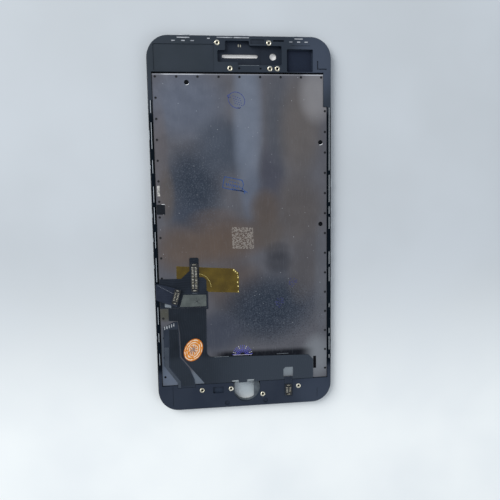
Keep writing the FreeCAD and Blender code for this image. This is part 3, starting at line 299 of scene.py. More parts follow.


# Paler and darker places of the steel plate, partly its own tint and partly painted reflections: centre,
# radii, turn in degrees, colour and share
PLATE_TINT_AND_REFLECTIONS = [
    ((-22, 50), (20, 18), 0, (101, 109, 125), 0.75), ((-20, 18), (15, 20), 10, (54, 63, 76), 0.95),
    ((-8, 33), (14, 16), 30, (76, 84, 97), 0.9), ((-23, 3), (10, 12), 0, (66, 74, 88), 0.8),
    ((2.5, 44), (7.5, 44), 0, (124, 133, 149), 0.78), ((4, 14), (6, 13), 0, (100, 108, 124), 0.6),
    ((12, 20), (7, 20), 0, (76, 78, 90), 0.8), ((15, 44), (7, 24), 0, (88, 91, 99), 0.8),
    ((24, 40), (11, 26), 0, (107, 101, 98), 0.8), ((31, 54), (9, 14), 0, (152, 150, 152), 0.8),
    ((23, 6), (14, 20), 0, (97, 91, 89), 0.8), ((-10, -6), (26, 11), 8, (104, 90, 81), 0.95),
    ((10, -2), (9, 10), 0, (98, 90, 85), 0.8), ((-27, -8), (12, 13), 0, (104, 91, 83), 0.8),
    ((9, 8), (8, 10), 0, (97, 87, 81), 0.85), ((-4, -24), (15, 15), 0, (96, 86, 82), 0.85),
    ((-12, 3), (14, 7), 0, (98, 86, 80), 0.6), ((14, -10), (7, 5), 0, (64, 64, 68), 0.55),
    ((15, -15), (8, 6), 0, (58, 60, 67), 0.7), ((10, -34), (27, 18), 10, (52, 61, 74), 0.97),
    ((-12, -44), (14, 11), 0, (72, 77, 90), 0.9), ((26, -18), (9, 18), -10, (92, 89, 91), 0.8),
    ((31, -56), (8, 12), 0, (134, 138, 143), 0.88), ((33, -22), (4, 34), 0, (104, 107, 114), 0.5),
    ((-33, 30), (4, 26), 0, (104, 99, 101), 0.6), ((-31, 14), (4, 14), 0, (98, 91, 87), 0.7),
    ((-33.5, -35), (4, 4), 0, (84, 84, 74), 0.9), ((-34.6, -52), (2, 14), 0, (84, 92, 102), 0.9),
    ((-33.6, -59), (4, 9), 0, (86, 96, 109), 0.95),
    ((-31, -62), (7, 7), 0, (112, 122, 138), 0.9), ((-19, -63), (9, 5), 0, (118, 128, 140), 0.9),
    ((18, -61), (6, 5), 0, (139, 148, 154), 0.95),
]
# Where dust lies on the plate, and where it is pitted: centre and radii
DUSTY = [((-18, 20), (17, 25)), ((14, -36), (28, 20))]
PITTED = ((14, -38), (28, 18))
# Rows of small holes in the plate: first hole, pitch, number and whether the row is upright
HOLE_ROWS = [
    ((-34.12, -61.99), 8.39, 9, True), ((-34.12, 11.45), 8.22, 6, True), ((34.55, -61.77), 8.39, 14, True),
    ((-34.12, 60.77), 8.39, 8, False), ((33.0, 60.77), 8.39, 1, False),
]
HOLE_SHADE_REACH = 0.54
# Shaded strip above the foot flex: from foot to head, and from left to right
STRIP_SHADE = ((-57, -52.4), (-12, 27))
# Upper lip of the plate, and the two stretches of it that catch the light
LIP = (61.42, 61.56)
LIT_LEFT, LIT_RIGHT = (-31, -16), (24, 27)


def plate_surface():
    """Bright rolled steel, cloudy with its own tint and with painted reflections in soft bands, with dull
    spots and fine specks.
    """
    s = Surface("cloudy_steel", 0.7, Specular_IOR_Level=0.25)
    drift = s.noise(14.0, 3.0)
    grain = s.noise(0.5, 2.0, (1, 0.12, 1))
    fine = s.noise(0.5, 2.0, shift=2.3)
    colour = s.mix(drift, (93, 93, 99), (107, 107, 113))
    # Paler and darker places: partly tint of the steel, partly painted reflections
    for centre, radii, turn, shade, share in PLATE_TINT_AND_REFLECTIONS:
        colour = s.over(colour, shade, s.near(centre, radii, turn), share)
    shadow = s.times(s.between(s.y, *STRIP_SHADE[0], 1.2), s.between(s.x, *STRIP_SHADE[1], 4))
    colour = s.over(colour, (8, 13, 22), shadow, 0.95)
    dusty = s.plus(s.near(*DUSTY[0]), s.near(*DUSTY[1]), clamp=True)
    dust = s.times(s.specks(0.8, 0.08, 0.14), s.plus(s.times(dusty, 0.28), 0.05))
    colour = s.over(colour, (160, 166, 176), dust)
    motes = s.times(s.specks(2.7, 0.035, 0.04), s.step(drift, 0.4, 0.6, 0.15, 0.6))
    colour = s.over(colour, (206, 210, 216), motes)
    colour = s.over(colour, (104, 111, 124), s.times(s.step(fine, 0.52, 0.66), dusty), 0.4)
    colour = s.over(colour, (26, 30, 44), s.times(s.step(fine, 0.44, 0.3), s.near(*PITTED)), 0.6)
    colour = s.over(colour, (140, 143, 150), s.step(grain, 0.5, 0.8), 0.1)
    lit_ends = s.plus(s.between(s.x, *LIT_LEFT, 2), s.rise(s.x, *LIT_RIGHT), clamp=True)
    # Painted highlight along the upper lip, strongest on the two stretches that catch the light
    lip = s.times(s.rise(s.y, *LIP), s.plus(s.times(lit_ends, 0.6), 0.3))
    colour = s.over(colour, (205, 208, 214), lip)
    # Edges lightened: partly wear, partly a painted highlight
    colour = s.over(colour, (160, 164, 170), s.edges(WEAR_AND_HIGHLIGHT_EDGE), 0.35)
    # Painted shade: a dark ring round each small hole
    for row in HOLE_ROWS:
        colour = s.over(colour, (4, 7, 11), s.hole_row(*row, HOLE_SHADE_REACH), 0.96)
    s.set("Roughness", s.spread(s.noise(6.0, 3.0, shift=1.3), 0.32, 0.44))
    s.bump(s.plus(grain, fine), 0.005, 0.3)
    return s.finish(colour)


LIT_HALF_WIDTH, LIT_HALF_LENGTH = 34.25, 60.9
GLASS_FRONT = (0.4, 0.2)


def glass_surface():
    """Polished cover glass over black ink, with the lit area a shade paler and a few smears."""
    s = Surface("cover_glass_black", Specular_IOR_Level=0.5, Coat_Weight=1.0, Coat_Roughness=0.03)
    lit = s.times(s.between(s.x, -LIT_HALF_WIDTH, LIT_HALF_WIDTH, 0.05),
                  s.between(s.y, -LIT_HALF_LENGTH, LIT_HALF_LENGTH, 0.05))
    front = s.rise(s.z, *GLASS_FRONT)
    smear = s.noise(16.0, 5.0, (1, 0.5, 1))
    colour = s.mix(s.times(lit, front), (9, 10, 12), (21, 23, 27))
    colour = s.over(colour, (38, 42, 48), s.step(smear, 0.55, 0.8), 0.2)
    colour = s.over(colour, (120, 124, 130), s.specks(7.0, 0.02, 0.02), 0.4)
    s.set("Roughness", s.step(smear, 0.45, 0.75, 0.05, 0.2))
    s.bump(smear, 0.004, 0.15)
    return s.finish(colour)


# The foot of a flex grows paler towards the button, and from left to right
FLEX_FOOT = ((-52.5, -55.5), (-22, 6))


def flex_surface(name, dark, light, pitch, lengthwise=True, gloss=0.5, foot=None):
    """Matt cover film over copper tracks, which show as faint ridges. The foot may be paler."""
    s = Surface(name, Specular_IOR_Level=0.2)
    cloud = s.noise(7.0, 4.0)
    fine = s.noise(0.35, 2.0, shift=4.2)
    across = s.x if lengthwise else s.y
    wander = s.times(s.noise(12.0, 1.0), pitch * 4 * MM)
    wave = s.math("SINE", s.times(s.plus(across, wander), 2 * math.pi / (pitch * MM)))
    tracks = s.step(wave, 0.1, 0.9)
    colour = s.mix(s.spread(cloud), dark, light)
    if foot:
        near_foot = s.times(s.rise(s.y, *FLEX_FOOT[0]), s.rise(s.x, *FLEX_FOOT[1], 0.35, 1.0))
        colour = s.over(colour, foot, near_foot)
    colour = s.over(colour, (92, 100, 112), tracks, 0.03)
    colour = s.over(colour, (120, 126, 134), s.specks(1.6, 0.04, 0.05), 0.2)
    # Edges lightened: partly wear, partly a painted highlight
    colour = s.over(colour, (84, 94, 106), s.edges(0.07), 0.4)
    s.set("Roughness", s.spread(cloud, gloss, gloss + 0.15))
    s.bump(s.plus(s.times(tracks, 0.25), s.times(fine, 0.4)), 0.02, 0.3)
    return s.finish(colour)


RAIL_TOP = (2.94, 3.0)
RAIL_LINE = (36.1, 36.27)
HOOKS_FROM = (36.5, 36.7)


def rail_surface():
    """Stamped steel, bright along its upper edge and on its outer hooks, with painted shade between."""
    s = Surface("steel_with_painted_shade", 0.4, Specular_IOR_Level=0.04)
    cloud = s.noise(4.0, 3.0)
    lines = s.noise(0.15, 2.0, (6, 0.5, 1), 1.9)
    bright = s.mix(s.step(lines, 0.4, 0.7), (206, 213, 219), (150, 159, 167))
    # Painted shade: the dark colour of the steel below its top and between the walls
    dark = s.mix(cloud, (6, 12, 18), (16, 24, 31))
    sideways = s.math("ABSOLUTE", s.x)
    # Bright only on a thin line along the upper edge and on the outer hooks; painted shade everywhere else
    line = s.times(s.rise(s.z, *RAIL_TOP), s.between(sideways, *RAIL_LINE, 0.03))
    bright_unshaded = s.plus(line, s.times(s.rise(sideways, *HOOKS_FROM), 0.8), clamp=True)
    s.set("Roughness", s.spread(cloud, 0.25, 0.42))
    s.bump(lines, 0.008, 0.3)
    return s.finish(s.mix(bright_unshaded, dark, bright))


def metal_surface(name, dark, light, rough, size, stretch, scratch, shade_below=None):
    """Bright stamped or plated metal with drawn lines and dull patches, dark below a given height."""
    s = Surface(name, 1.0)
    cloud = s.noise(size, 3.0)
    lines = s.noise(0.12, 2.0, stretch, 1.9)
    colour = s.mix(s.spread(cloud), dark, light)
    colour = s.over(colour, (60, 60, 62), s.step(lines, 0.45, 0.7), scratch)
    if shade_below:
        colour = s.mix(s.rise(s.z, shade_below, shade_below + 0.03), (26, 24, 20), colour)
    s.set("Roughness", s.spread(cloud, *rough))
    s.bump(lines, 0.008, 0.3)
    return s.finish(colour)


def tape_surface():
    """Amber polyimide tape: glossy, in two shades, with tiny trapped bubbles and edges painted bright as a
    highlight.
    """
    s = Surface("amber_tape", Coat_Weight=0.15, Coat_Roughness=0.12, Specular_IOR_Level=0.3)
    cloud = s.noise(5.0, 4.0)
    colour = s.mix(s.spread(cloud), (67, 53, 2), (84, 68, 4))
    colour = s.over(colour, (150, 134, 60), s.specks(0.9, 0.07, 0.06), 0.35)
    # Painted highlight on the edges
    colour = s.over(colour, (186, 166, 74), s.edges(0.05), 0.7)
    s.set("Roughness", s.spread(cloud, 0.28, 0.42))
    s.bump(cloud, 0.05, 0.4)
    return s.finish(colour)


TAPE_ON_MOULD = (2.16, 2.19)


def mould_surface():
    """White moulding that carries black tape on its outer face."""
    s = Surface("white_moulding")
    fine = s.noise(0.3, 3.0)
    white = s.mix(fine, (212, 212, 206), (236, 236, 230))
    colour = s.over(white, (18, 21, 26), s.rise(s.z, *TAPE_ON_MOULD))
    s.set("Roughness", s.spread(fine, 0.4, 0.6))
    s.bump(fine, 0.01)
    return s.finish(colour)


STICKER_AT = (-22.1, -50.75)
STICKER_RADII = (5.1, 3.76)
STICKER_LEAN = 63
# Cream rings of the label: place between its middle and its rim, and width
STICKER_RINGS = [(0.87, 0.05), (0.66, 0.06), (0.46, 0.05)]


def sticker_surface():
    """Orange paper label with uneven cream rings round a pale grey blot."""
    s = Surface("orange_label", Specular_IOR_Level=0.25)
    u, v = s.turned(STICKER_AT, STICKER_RADII, STICKER_LEAN)
    radius = s.math("SQRT", s.squares(u, v))
    angle = s.math("ARCTAN2", v, u)
    paper = s.noise(0.4, 3.0)
    patchy = s.noise(0.9, 2.0, shift=6.3)
    wobble = s.times(s.minus(s.noise(1.3, 2.0), 0.5), 0.22)
    soft = s.plus(radius, wobble)
    colour = s.mix(paper, (182, 104, 16), (202, 126, 32))
    for at, width in STICKER_RINGS:
        gap = s.math("ABSOLUTE", s.minus(soft, at))
        ring = s.times(s.step(gap, width * 0.5, width, 1.0, 0.0), s.step(patchy, 0.34, 0.5))
        colour = s.over(colour, (216, 204, 184), ring, 0.9)
    turn = s.math("SINE", s.plus(s.times(angle, 9.0), s.times(patchy, 6.0)))
    rays = s.times(s.step(turn, 0.2, 0.6), s.step(soft, 0.48, 0.4))
    colour = s.over(colour, (196, 190, 180), rays, 0.85)
    blot = s.times(s.step(soft, 0.46, 0.2), s.step(patchy, 0.42, 0.52))
    colour = s.over(colour, (112, 104, 104), blot, 0.8)
    colour = s.over(colour, (150, 80, 20), s.step(radius, 0.94, 0.985))
    s.set("Roughness", s.spread(paper, 0.5, 0.66))
    s.bump(paper, 0.02, 0.4)
    return s.finish(colour)


INSERT_MOUTH = 2.93
moulded = frame_surface()
railing = rail_surface()
steel = metal_surface("stamped_steel", (176, 180, 186), (226, 229, 233), rough=(0.22, 0.4), size=5.0,
                      stretch=(6, 0.5, 1), scratch=0.25)
brass = metal_surface("turned_brass", (214, 207, 180), (250, 247, 232), rough=(0.24, 0.38), size=0.8,
                      stretch=(1, 1, 8), scratch=0.2, shade_below=INSERT_MOUTH)
deep_brass = metal_surface("shaded_thread", (44, 40, 32), (74, 68, 54), rough=(0.4, 0.6), size=0.8,
                           stretch=(1, 1, 8), scratch=0.3)
gold = metal_surface("plated_gold", (150, 142, 112), (255, 252, 238), rough=(0.3, 0.45), size=0.5,
                     stretch=(1, 4, 1), scratch=0.45)
tin = metal_surface("tinned_pads", (176, 179, 182), (236, 238, 240), rough=(0.25, 0.45), size=0.6,
                    stretch=(1, 1, 1), scratch=0.15)
foil = metal_surface("dull_foil", (168, 166, 162), (222, 220, 214), rough=(0.3, 0.5), size=1.0,
                     stretch=(1, 2, 1), scratch=0.25)
# Edge colours given as wear, here and below, are partly wear and partly a painted highlight
socket = plain_surface("socket_moulding", (16, 17, 20), (30, 32, 36), rough=(0.35, 0.5), size=1.2,
                       grain=0.1, edge_wear_and_highlight=(96, 98, 102))
limb_film = flex_surface("cover_film", (12, 20, 29), (20, 28, 38), 0.9, foot=(44, 52, 62))
navy_film = flex_surface("folded_film", (24, 31, 45), (36, 43, 58), 0.8, lengthwise=False, gloss=0.42)
grey_film = flex_surface("grey_film", (26, 34, 47), (38, 46, 58), 0.7)
dark_film = flex_surface("upper_film", (14, 22, 32), (24, 32, 44), 1.0, lengthwise=False, gloss=0.45)
panel_glass = plain_surface("panel_glass", (26, 29, 34), (40, 44, 52), rough=(0.06, 0.14), size=12.0,
                            grain=0.8, depth=0.004, Coat_Weight=0.5)
white_film = plain_surface("white_film", (206, 208, 212), (232, 234, 238), rough=(0.35, 0.5),
                           size=10.0, grain=0.4)

SURFACES = {
    "frame": moulded, "backlight_plate": plate_surface(), "cover_glass": glass_surface(),
    "left_rail": railing, "right_rail": railing,
    "top_clip_left": steel, "top_clip_mid": steel, "top_clip_right": steel,
    "top_inserts": brass, "bottom_inserts": brass,
    "display_pins": gold, "touch_pins": gold, "home_pins": gold, "sensor_contacts": gold,
    "contact_row": tin, "edge_tab": foil,
    "display_connector": socket, "touch_connector": socket, "home_connector": socket,
    "main_flex": limb_film, "flex_cover": limb_film, "second_flex": grey_film, "home_flex": grey_film,
    "upper_flex": dark_film, "fold_flex": navy_film,
    "kapton_tape": tape_surface(), "round_sticker": sticker_surface(), "mould_frame": mould_surface(),
    "color_filter_glass": panel_glass, "tft_glass": panel_glass,
    "prism_film_upper": white_film, "prism_film_lower": white_film, "diffuser_film": white_film,
    # Painted shade: the film is dark so that the holes over it look dark
    "reflector_film": plain_surface("film_painted_dark_for_hole_shade", (20, 22, 26), (34, 37, 42), rough=(0.5, 0.65), size=6.0),
    "light_guide": plain_surface("clear_guide", (196, 208, 214), (222, 232, 238), rough=(0.1, 0.2),
                                 size=8.0, grain=0.5, Coat_Weight=0.4),
    "optical_adhesive": plain_surface("clear_glue", (206, 212, 216), (226, 230, 234),
                                      rough=(0.12, 0.25), size=9.0),
    "front_polarizer": plain_surface("front_polarizing_film", (28, 31, 36), (44, 48, 54),
                                     rough=(0.3, 0.42), size=11.0),
    "rear_polarizer": plain_surface("rear_polarizing_film", (34, 36, 40), (50, 53, 58),
                                    rough=(0.3, 0.42), size=11.0),
    "led_strip": plain_surface("lamp_strip", (150, 92, 30), (188, 124, 46), rough=(0.35, 0.5), size=2.5),
    "leds": plain_surface("lamp_bodies", (226, 212, 130), (246, 238, 176), rough=(0.25, 0.4),
                          size=0.8, grain=0.15),
    "driver_chip": plain_surface("bare_chip", (30, 31, 36), (48, 50, 56), rough=(0.15, 0.25), size=1.5),
    "button_gasket": plain_surface("grey_gasket", (66, 74, 82), (90, 99, 106), rough=(0.55, 0.7),
                                   size=1.5, edge_wear_and_highlight=(128, 136, 142)),
    "stiffener": plain_surface("grey_backing", (62, 68, 67), (80, 87, 85), rough=(0.38, 0.52),
                               grain=0.15, edge_wear_and_highlight=(150, 156, 156)),
    "edge_patch": plain_surface("black_patch", (5, 10, 18), (13, 20, 29), rough=(0.5, 0.65),
                                size=1.0, edge_wear_and_highlight=(70, 78, 88), Specular_IOR_Level=0.2),
}
for label, material in SURFACES.items():
    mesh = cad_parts[label].data
    mesh.materials.clear()
    mesh.materials.append(material)

blue_ink = plain_surface("blue_ink", (38, 50, 102), (56, 70, 128), size=0.8, grain=0.2)
strong_ink = plain_surface("strong_blue_ink", (16, 48, 100), (32, 74, 136), size=0.8, grain=0.2)
dark_ink = plain_surface("dark_blue_ink", (26, 28, 78), (44, 50, 108), size=0.6, grain=0.2)
violet_ink = plain_surface("violet_ink", (60, 60, 160), (86, 86, 192), size=0.6, grain=0.2)
pale_ink = plain_surface("pale_ink", (158, 156, 176), (196, 194, 210), size=0.6, grain=0.2)
pale_print = plain_surface("pale_print", (113, 107, 101), (134, 128, 122), rough=(0.5, 0.7),
                           size=0.9, grain=0.2)
# Pale film edges, partly the edge's own colour and partly a painted highlight
pale_edge_and_highlight = plain_surface("film_edge_and_painted_highlight", (92, 99, 106), (122, 130, 137), rough=(0.35, 0.5),
                          size=1.2, grain=0.2)
window_film = plain_surface("window_film", (124, 132, 136), (144, 152, 156), rough=(0.4, 0.5),
                            size=2.0, grain=0.2)
lifted_film = plain_surface("lifted_film", (40, 49, 60), (52, 61, 73), rough=(0.4, 0.5),
                            size=2.0, grain=0.2, edge_wear_and_highlight=(128, 136, 146))
pale_marks = plain_surface("pale_thread_marks", (120, 126, 138), (150, 156, 166), rough=(0.5, 0.6), size=0.5)
grey_pencil = plain_surface("grey_pencil", (40, 45, 47), (54, 60, 62), rough=(0.5, 0.6), size=0.5)
# Painted glints, on the edge patch and on the rims of holes
painted_glint = plain_surface("painted_glint", (226, 230, 233), (246, 248, 250), rough=(0.3, 0.4), size=0.4)
hole_shadow = plain_surface("hole_shadow", (3, 5, 9), (9, 12, 17), rough=(0.7, 0.85), size=0.5,
                            Specular_IOR_Level=0.1)
black_foam = plain_surface("black_foam", (19, 27, 41), (29, 37, 53), rough=(0.7, 0.85), size=0.5,
                           grain=0.1, Specular_IOR_Level=0.15)
# Painted glints: blisters far paler than the tape they lift from
blister_glint = plain_surface("tape_blisters", (196, 178, 92), (236, 220, 140), rough=(0.15, 0.3), size=0.5,
                        Coat_Weight=0.8)


# Tools for small pieces

SUNK = 0.002  # how far a mark reaches into what carries it
STROKE_THICK = 0.012
STROKE_UNEVEN = (0.7, 1.2)


def new_piece(name, points, faces, material, smooth=False):
    """A closed mesh in millimetres, which rides on the module."""
    mesh = bpy.data.meshes.new(name)
    mesh.from_pydata([tuple(Vector(p) * MM) for p in points], [], faces)
    mesh.validate()
    mesh.materials.append(material)
    for polygon in mesh.polygons:
        polygon.use_smooth = smooth
    piece = bpy.data.objects.new(name, mesh)
    scene.collection.objects.link(piece)
    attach(piece, "root")
    return piece


def slab(points, faces, outline, low, high):
    """Add a thin closed plate with the given outline to a mesh in the making."""
    first = len(points)
    count = len(outline)
    points += [(x, y, low) for x, y in outline] + [(x, y, high) for x, y in outline]
    faces.append([first + count + i for i in range(count)])
    faces.append([first + count - 1 - i for i in range(count)])
    for i in range(count):
        j = (i + 1) % count
        faces.append([first + i, first + j, first + count + j, first + count + i])


def skin(faces, first, rings, sides, closed=False):
    """Join each ring of points to the next one, and the last to the first where it is closed."""
    for r in range(rings if closed else rings - 1):
        here, there = first + r * sides, first + (r + 1) % rings * sides
        for k in range(sides):
            j = (k + 1) % sides
            faces.append([here + k, here + j, there + j, there + k])


def tube(points, faces, line, radius, sides):
    """Add a closed wire along a line to a mesh in the making."""
    first = len(points)
    count = len(line)
    for i, here in enumerate(line):
        here = Vector(here)
        along = (Vector(line[min(i + 1, count - 1)]) - Vector(line[max(i - 1, 0)])).normalized()
        side = Vector((0, 0, 1)).cross(along).normalized()
        up = along.cross(side)
        for k in range(sides):
            turn = 2 * math.pi * k / sides
            points.append(tuple(here + side * radius * math.cos(turn) + up * radius * math.sin(turn)))
    skin(faces, first, count, sides)
    faces.append([first + sides - 1 - k for k in range(sides)])
    faces.append([first + (count - 1) * sides + k for k in range(sides)])


def stroke(start, end, width):
    """The outline of one stroke, a little uneven in width."""
    along = (Vector(end) - Vector(start)).normalized()
    left, right = [], []
    for x, y in (start, end):
        half = width / 2 * random.uniform(*STROKE_UNEVEN)
        left.append((x - along.y * half, y + along.x * half))
        right.append((x + along.y * half, y - along.x * half))
    return right + left[::-1]


def patches(name, outlines, base, thick, material):
    """Thin plates that lie on a face at the given height."""
    points, faces = [], []
    for outline in outlines:
        slab(points, faces, outline, base - SUNK, base + thick)
    return new_piece(name, points, faces, material)


def strokes(name, lines, width, base, material):
    """Drawn or printed lines as thin raised strokes."""
    outlines = [stroke(a, b, width) for line in lines for a, b in zip(line, line[1:])]
    return patches(name, outlines, base, STROKE_THICK, material)


def on_ellipse(centre, radii, turn, start, end, count):
    """Places along part of an ellipse, angles in degrees."""
    c, s = math.cos(math.radians(turn)), math.sin(math.radians(turn))
    line = []
    for i in range(count + 1):
        angle = math.radians(start + (end - start) * i / count)
        u, v = radii[0] * math.cos(angle), radii[1] * math.sin(angle)
        line.append((centre[0] + u * c - v * s, centre[1] + u * s + v * c))
    return line


def ring(centre, wide, high, sides):
    """Places all round an upright ellipse, each once."""
    return on_ellipse(centre, (wide, high), 0, 0, 360 * (sides - 1) / sides, sides - 1)


# Marks on the steel plate

PLATE_TOP = 2.45
GOLDEN_ANGLE = 2.4  # spreads places evenly over a disc
# Worn stamps: centre, half their width and height, and number of dashes
WORN_STAMPS = [((20.6, -23.4), (2.2, 1.5), 16), ((14.9, -31.9), (2.1, 1.9), 18)]
FAN_AT = (-1.35, -54.1)
FAN_RAYS = 15


def make_ink_loop():
    """A leaning loop with a tail, a hook and short dashes inside."""
    loop = on_ellipse((-1.9, 51.7), (3.5, 3.0), -38, 0, 330, 26)
    tail = [(-4.7, 54.0), (-5.7, 53.4), (-5.2, 52.7), (-4.2, 52.9)]
    hook = [(-0.2, 48.9), (-0.9, 48.4), (-1.5, 48.9)]
    dashes = []
    for row in range(4):
        for i in range(4):
            x, y = -3.5 + 0.9 * i + 0.25 * row, 53.4 - 0.95 * row - 0.3 * i
            dashes.append([(x, y), (x + 0.45, y - 0.18)])
    strokes("ink_loop", [loop, tail, hook] + dashes, 0.3, PLATE_TOP, blue_ink)


def make_ink_box():
    """A smeared box with bars inside."""
    box = [(-7.4, 21.2), (-3.8, 20.4), (-0.2, 19.6), (0.3, 17.9), (-0.4, 15.2), (-4.4, 15.8), (-8.3, 16.8),
           (-7.9, 19.2), (-7.4, 21.2)]
    bars = [[(-6.9 + 0.9 * i, 18.6 - 0.2 * i), (-6.4 + 0.9 * i, 17.5 - 0.2 * i)] for i in range(7)]
    bars += [[(-5.6 + 1.1 * i, 19.4 - 0.25 * i), (-4.9 + 1.1 * i, 19.1 - 0.25 * i)] for i in range(4)]
    smear = [[(-4.6 + 0.7 * i, 16.6 - 0.22 * i), (-3.9 + 0.7 * i, 15.6 - 0.12 * i)] for i in range(8)]
    smear += [[(-0.6, 16.5), (0.9, 15.1), (1.9, 14.5)], [(-0.9, 15.6), (0.4, 14.9), (0.9, 14.0)]]
    strokes("ink_box", [box] + bars + smear, 0.34, PLATE_TOP, strong_ink)


def make_worn_stamps():
    """Two stamps of which only scattered dashes are left."""
    dashes = []
    for centre, spread, count in WORN_STAMPS:
        for i in range(count):
            turn = GOLDEN_ANGLE * i
            reach = math.sqrt((i + 0.5) / count)
            x = centre[0] + spread[0] * reach * math.cos(turn)
            y = centre[1] + spread[1] * reach * math.sin(turn)
            lean = turn * 1.7
            dashes.append([(x, y), (x + 0.6 * math.cos(lean), y + 0.6 * math.sin(lean))])
    strokes("ink_worn_stamps", dashes, 0.26, PLATE_TOP, dark_ink)


def make_fan():
    """A fan of broken rays, some of them pale, over a pale foot line."""
    rays, pale = [], []
    for i in range(FAN_RAYS):
        angle = math.radians(6 + 12 * i)
        x, y = math.cos(angle), math.sin(angle)
        inner_end = 1.2 if i % 2 else 2.1
        for part, (low, high) in enumerate(((inner_end, 2.7), (2.9, 3.5), (3.7, 4.3))):
            line = [(FAN_AT[0] + reach * x, FAN_AT[1] + reach * y) for reach in (low, high)]
            (pale if i % 4 == 1 and part > 0 else rays).append(line)
    pale.append([(-5.3, -53.95), (-2.2, -54.05), (2.6, -54.1)])
    strokes("ink_fan", rays, 0.2, PLATE_TOP, violet_ink)
    strokes("ink_fan_foot", pale, 0.2, PLATE_TOP, pale_ink)


SPECKLE_CORNER = (-4.95, 0.5)
SPECKLE_SIDE = 8.9
SPECKLE_CELLS = 25
SPECKLE_LEAN = (0.012, 0.02)  # shift of each row to the right, and of each column down
CELL_FILLED = 0.92  # share of a cell's side that is printed
CELL_CHANCE, RIM_CHANCE = 0.5, 0.8


def make_speckle_patch():
    """Square of random light cells printed on the plate."""
    cells = []
    side = SPECKLE_SIDE / SPECKLE_CELLS
    filled = side * CELL_FILLED
    last = SPECKLE_CELLS - 1
    for row in range(SPECKLE_CELLS):
        for column in range(SPECKLE_CELLS):
            if random.random() < (RIM_CHANCE if last in (row, column) else CELL_CHANCE):
                x = SPECKLE_CORNER[0] + side * column + SPECKLE_LEAN[0] * row
                y = SPECKLE_CORNER[1] - side * (row + 1) - SPECKLE_LEAN[1] * column
                cells.append([(x, y), (x + filled, y), (x + filled, y + filled), (x, y + filled)])
    patches("speckle_patch", cells, PLATE_TOP, 0.006, pale_print)


# Flexes, plugs and tape

FLEX_TOP = 2.75
STIFFENER_TOP = 2.93
FOLD_TOP = 3.45
TAPE_TOP = 2.507
# Larger blisters of the tape: place and radius
BLISTERS = [(-4.4, -17.5, 0.34), (-3.7, -18.1, 0.3), (-3.0, -18.8, 0.26), (-2.75, -19.9, 0.16),
            (-2.65, -20.7, 0.26), (-2.9, -22.7, 0.3), (-2.7, -24.4, 0.26), (-2.65, -26.6, 0.26)]
SMALL_BLISTER = 0.13
BLISTER_STRETCH = 1.3
BLISTER_HEIGHT = 0.4


def make_flex_details():
    """Bare film edges with a painted highlight, pads, folds and tags on the flexes, and painted glints beside
    them.
    """
    # Painted highlight on the bare upper edge of the strip
    strip = [[(-13.4, -54.3), (-10.2, -54.3), (-7.2, -54.3)], [(13.3, -54.3), (18.3, -54.3)]]
    strokes("strip_edges", strip, 0.14, FLEX_TOP, pale_edge_and_highlight)
    pads = [[(-6.0, -65.0), (-3.4, -65.0), (-3.4, -65.5), (-6.0, -65.5)],
            [(0.7, -64.95), (3.3, -64.95), (3.3, -65.45), (0.7, -65.45)]]
    patches("button_pads", pads, FLEX_TOP, 0.03, window_film)
    band = [(-34.1, -49.2), (-34.1, -57.4), (-28.85, -64.9), (-28.85, -66.85), (-27.8, -66.85),
            (-27.75, -64.2), (-30.2, -61.0), (-32.5, -57.7), (-32.3, -49.2)]
    patches("second_flex_band", [band], FLEX_TOP, 0.04, lifted_film)
    tag = [(-33.3, -30.4), (-33.3, -32.0), (-30.7, -32.4), (-30.7, -31.35)]
    patches("grey_tag", [tag], FLEX_TOP, 0.06, pale_edge_and_highlight)
    dashes = []
    for i in range(12):
        x, y = -35.9 + 0.54 * i, -22.75 - 0.31 * i
        dashes.append([(x, y), (x + 0.26, y - 0.14)])
    strokes("fold_crease", dashes, 0.14, FOLD_TOP, pale_marks)
    # Painted glints at the corners of the edge patch
    glints = [[(-33.2, 10.36), (-32.1, 10.36)], [(-32.1, 10.36), (-31.85, 9.9)], [(-32.5, 6.2), (-31.9, 6.5)]]
    strokes("patch_glints", glints, 0.2, PLATE_TOP, painted_glint)
    cross = [[(-21.6, -28.9), (-18.8, -31.0)], [(-20.3, -28.5), (-19.6, -31.2)],
             [(-21.2, -30.8), (-19.0, -29.2)]]
    strokes("backing_cross", cross, 0.2, STIFFENER_TOP, grey_pencil)
    ends = [[(-21.6, -14.2), (-20.1, -14.2)], [(-21.9, -26.6), (-19.8, -26.6)]]
    strokes("plug_frame_marks", ends, 0.12, FLEX_TOP, pale_edge_and_highlight)


def make_tape_blisters():
    """Lifted, light-catching edge of the amber tape: a row of small blisters, painted pale as glints."""
    points, faces = [], []
    arc = on_ellipse((-19.3, -24.6), (5.3, 6.0), 0, 88, 6, 13)
    rings, sides = 3, 8
    for x, y, radius in BLISTERS + [(x, y, SMALL_BLISTER) for x, y in arc]:
        first = len(points)
        height = BLISTER_HEIGHT * radius
        for r in range(rings):
            tilt = math.pi / 2 * r / rings
            flat = radius * math.cos(tilt)
            rim = ring((x, y), flat, BLISTER_STRETCH * flat, sides)
            points += [(px, py, TAPE_TOP + height * math.sin(tilt)) for px, py in rim]
        points.append((x, y, TAPE_TOP + height))
        top = len(points) - 1
        skin(faces, first, rings, sides)
        last = top - sides
        faces += [[last + k, last + (k + 1) % sides, top] for k in range(sides)]
        faces.append([first + sides - 1 - k for k in range(sides)])
    new_piece("tape_blisters", points, faces, blister_glint, smooth=True)


# Inserts, the plate's larger holes and the moulding

INSERTS = [(-9.3, 73.93), (11.47, 73.93), (-4.34, 64.0), (11.8, 64.0), (14.8, 64.0),
           (-18.9, -68.5), (-6.6, -68.5), (7.0, -71.65), (22.6, -68.95)]
THREAD_TURNS, THREAD_STEPS = 5, 14
THREAD_RADIUS, THREAD_WIRE = 0.48, 0.055
THREAD_FOOT, THREAD_LENGTH = 1.45, 1.4
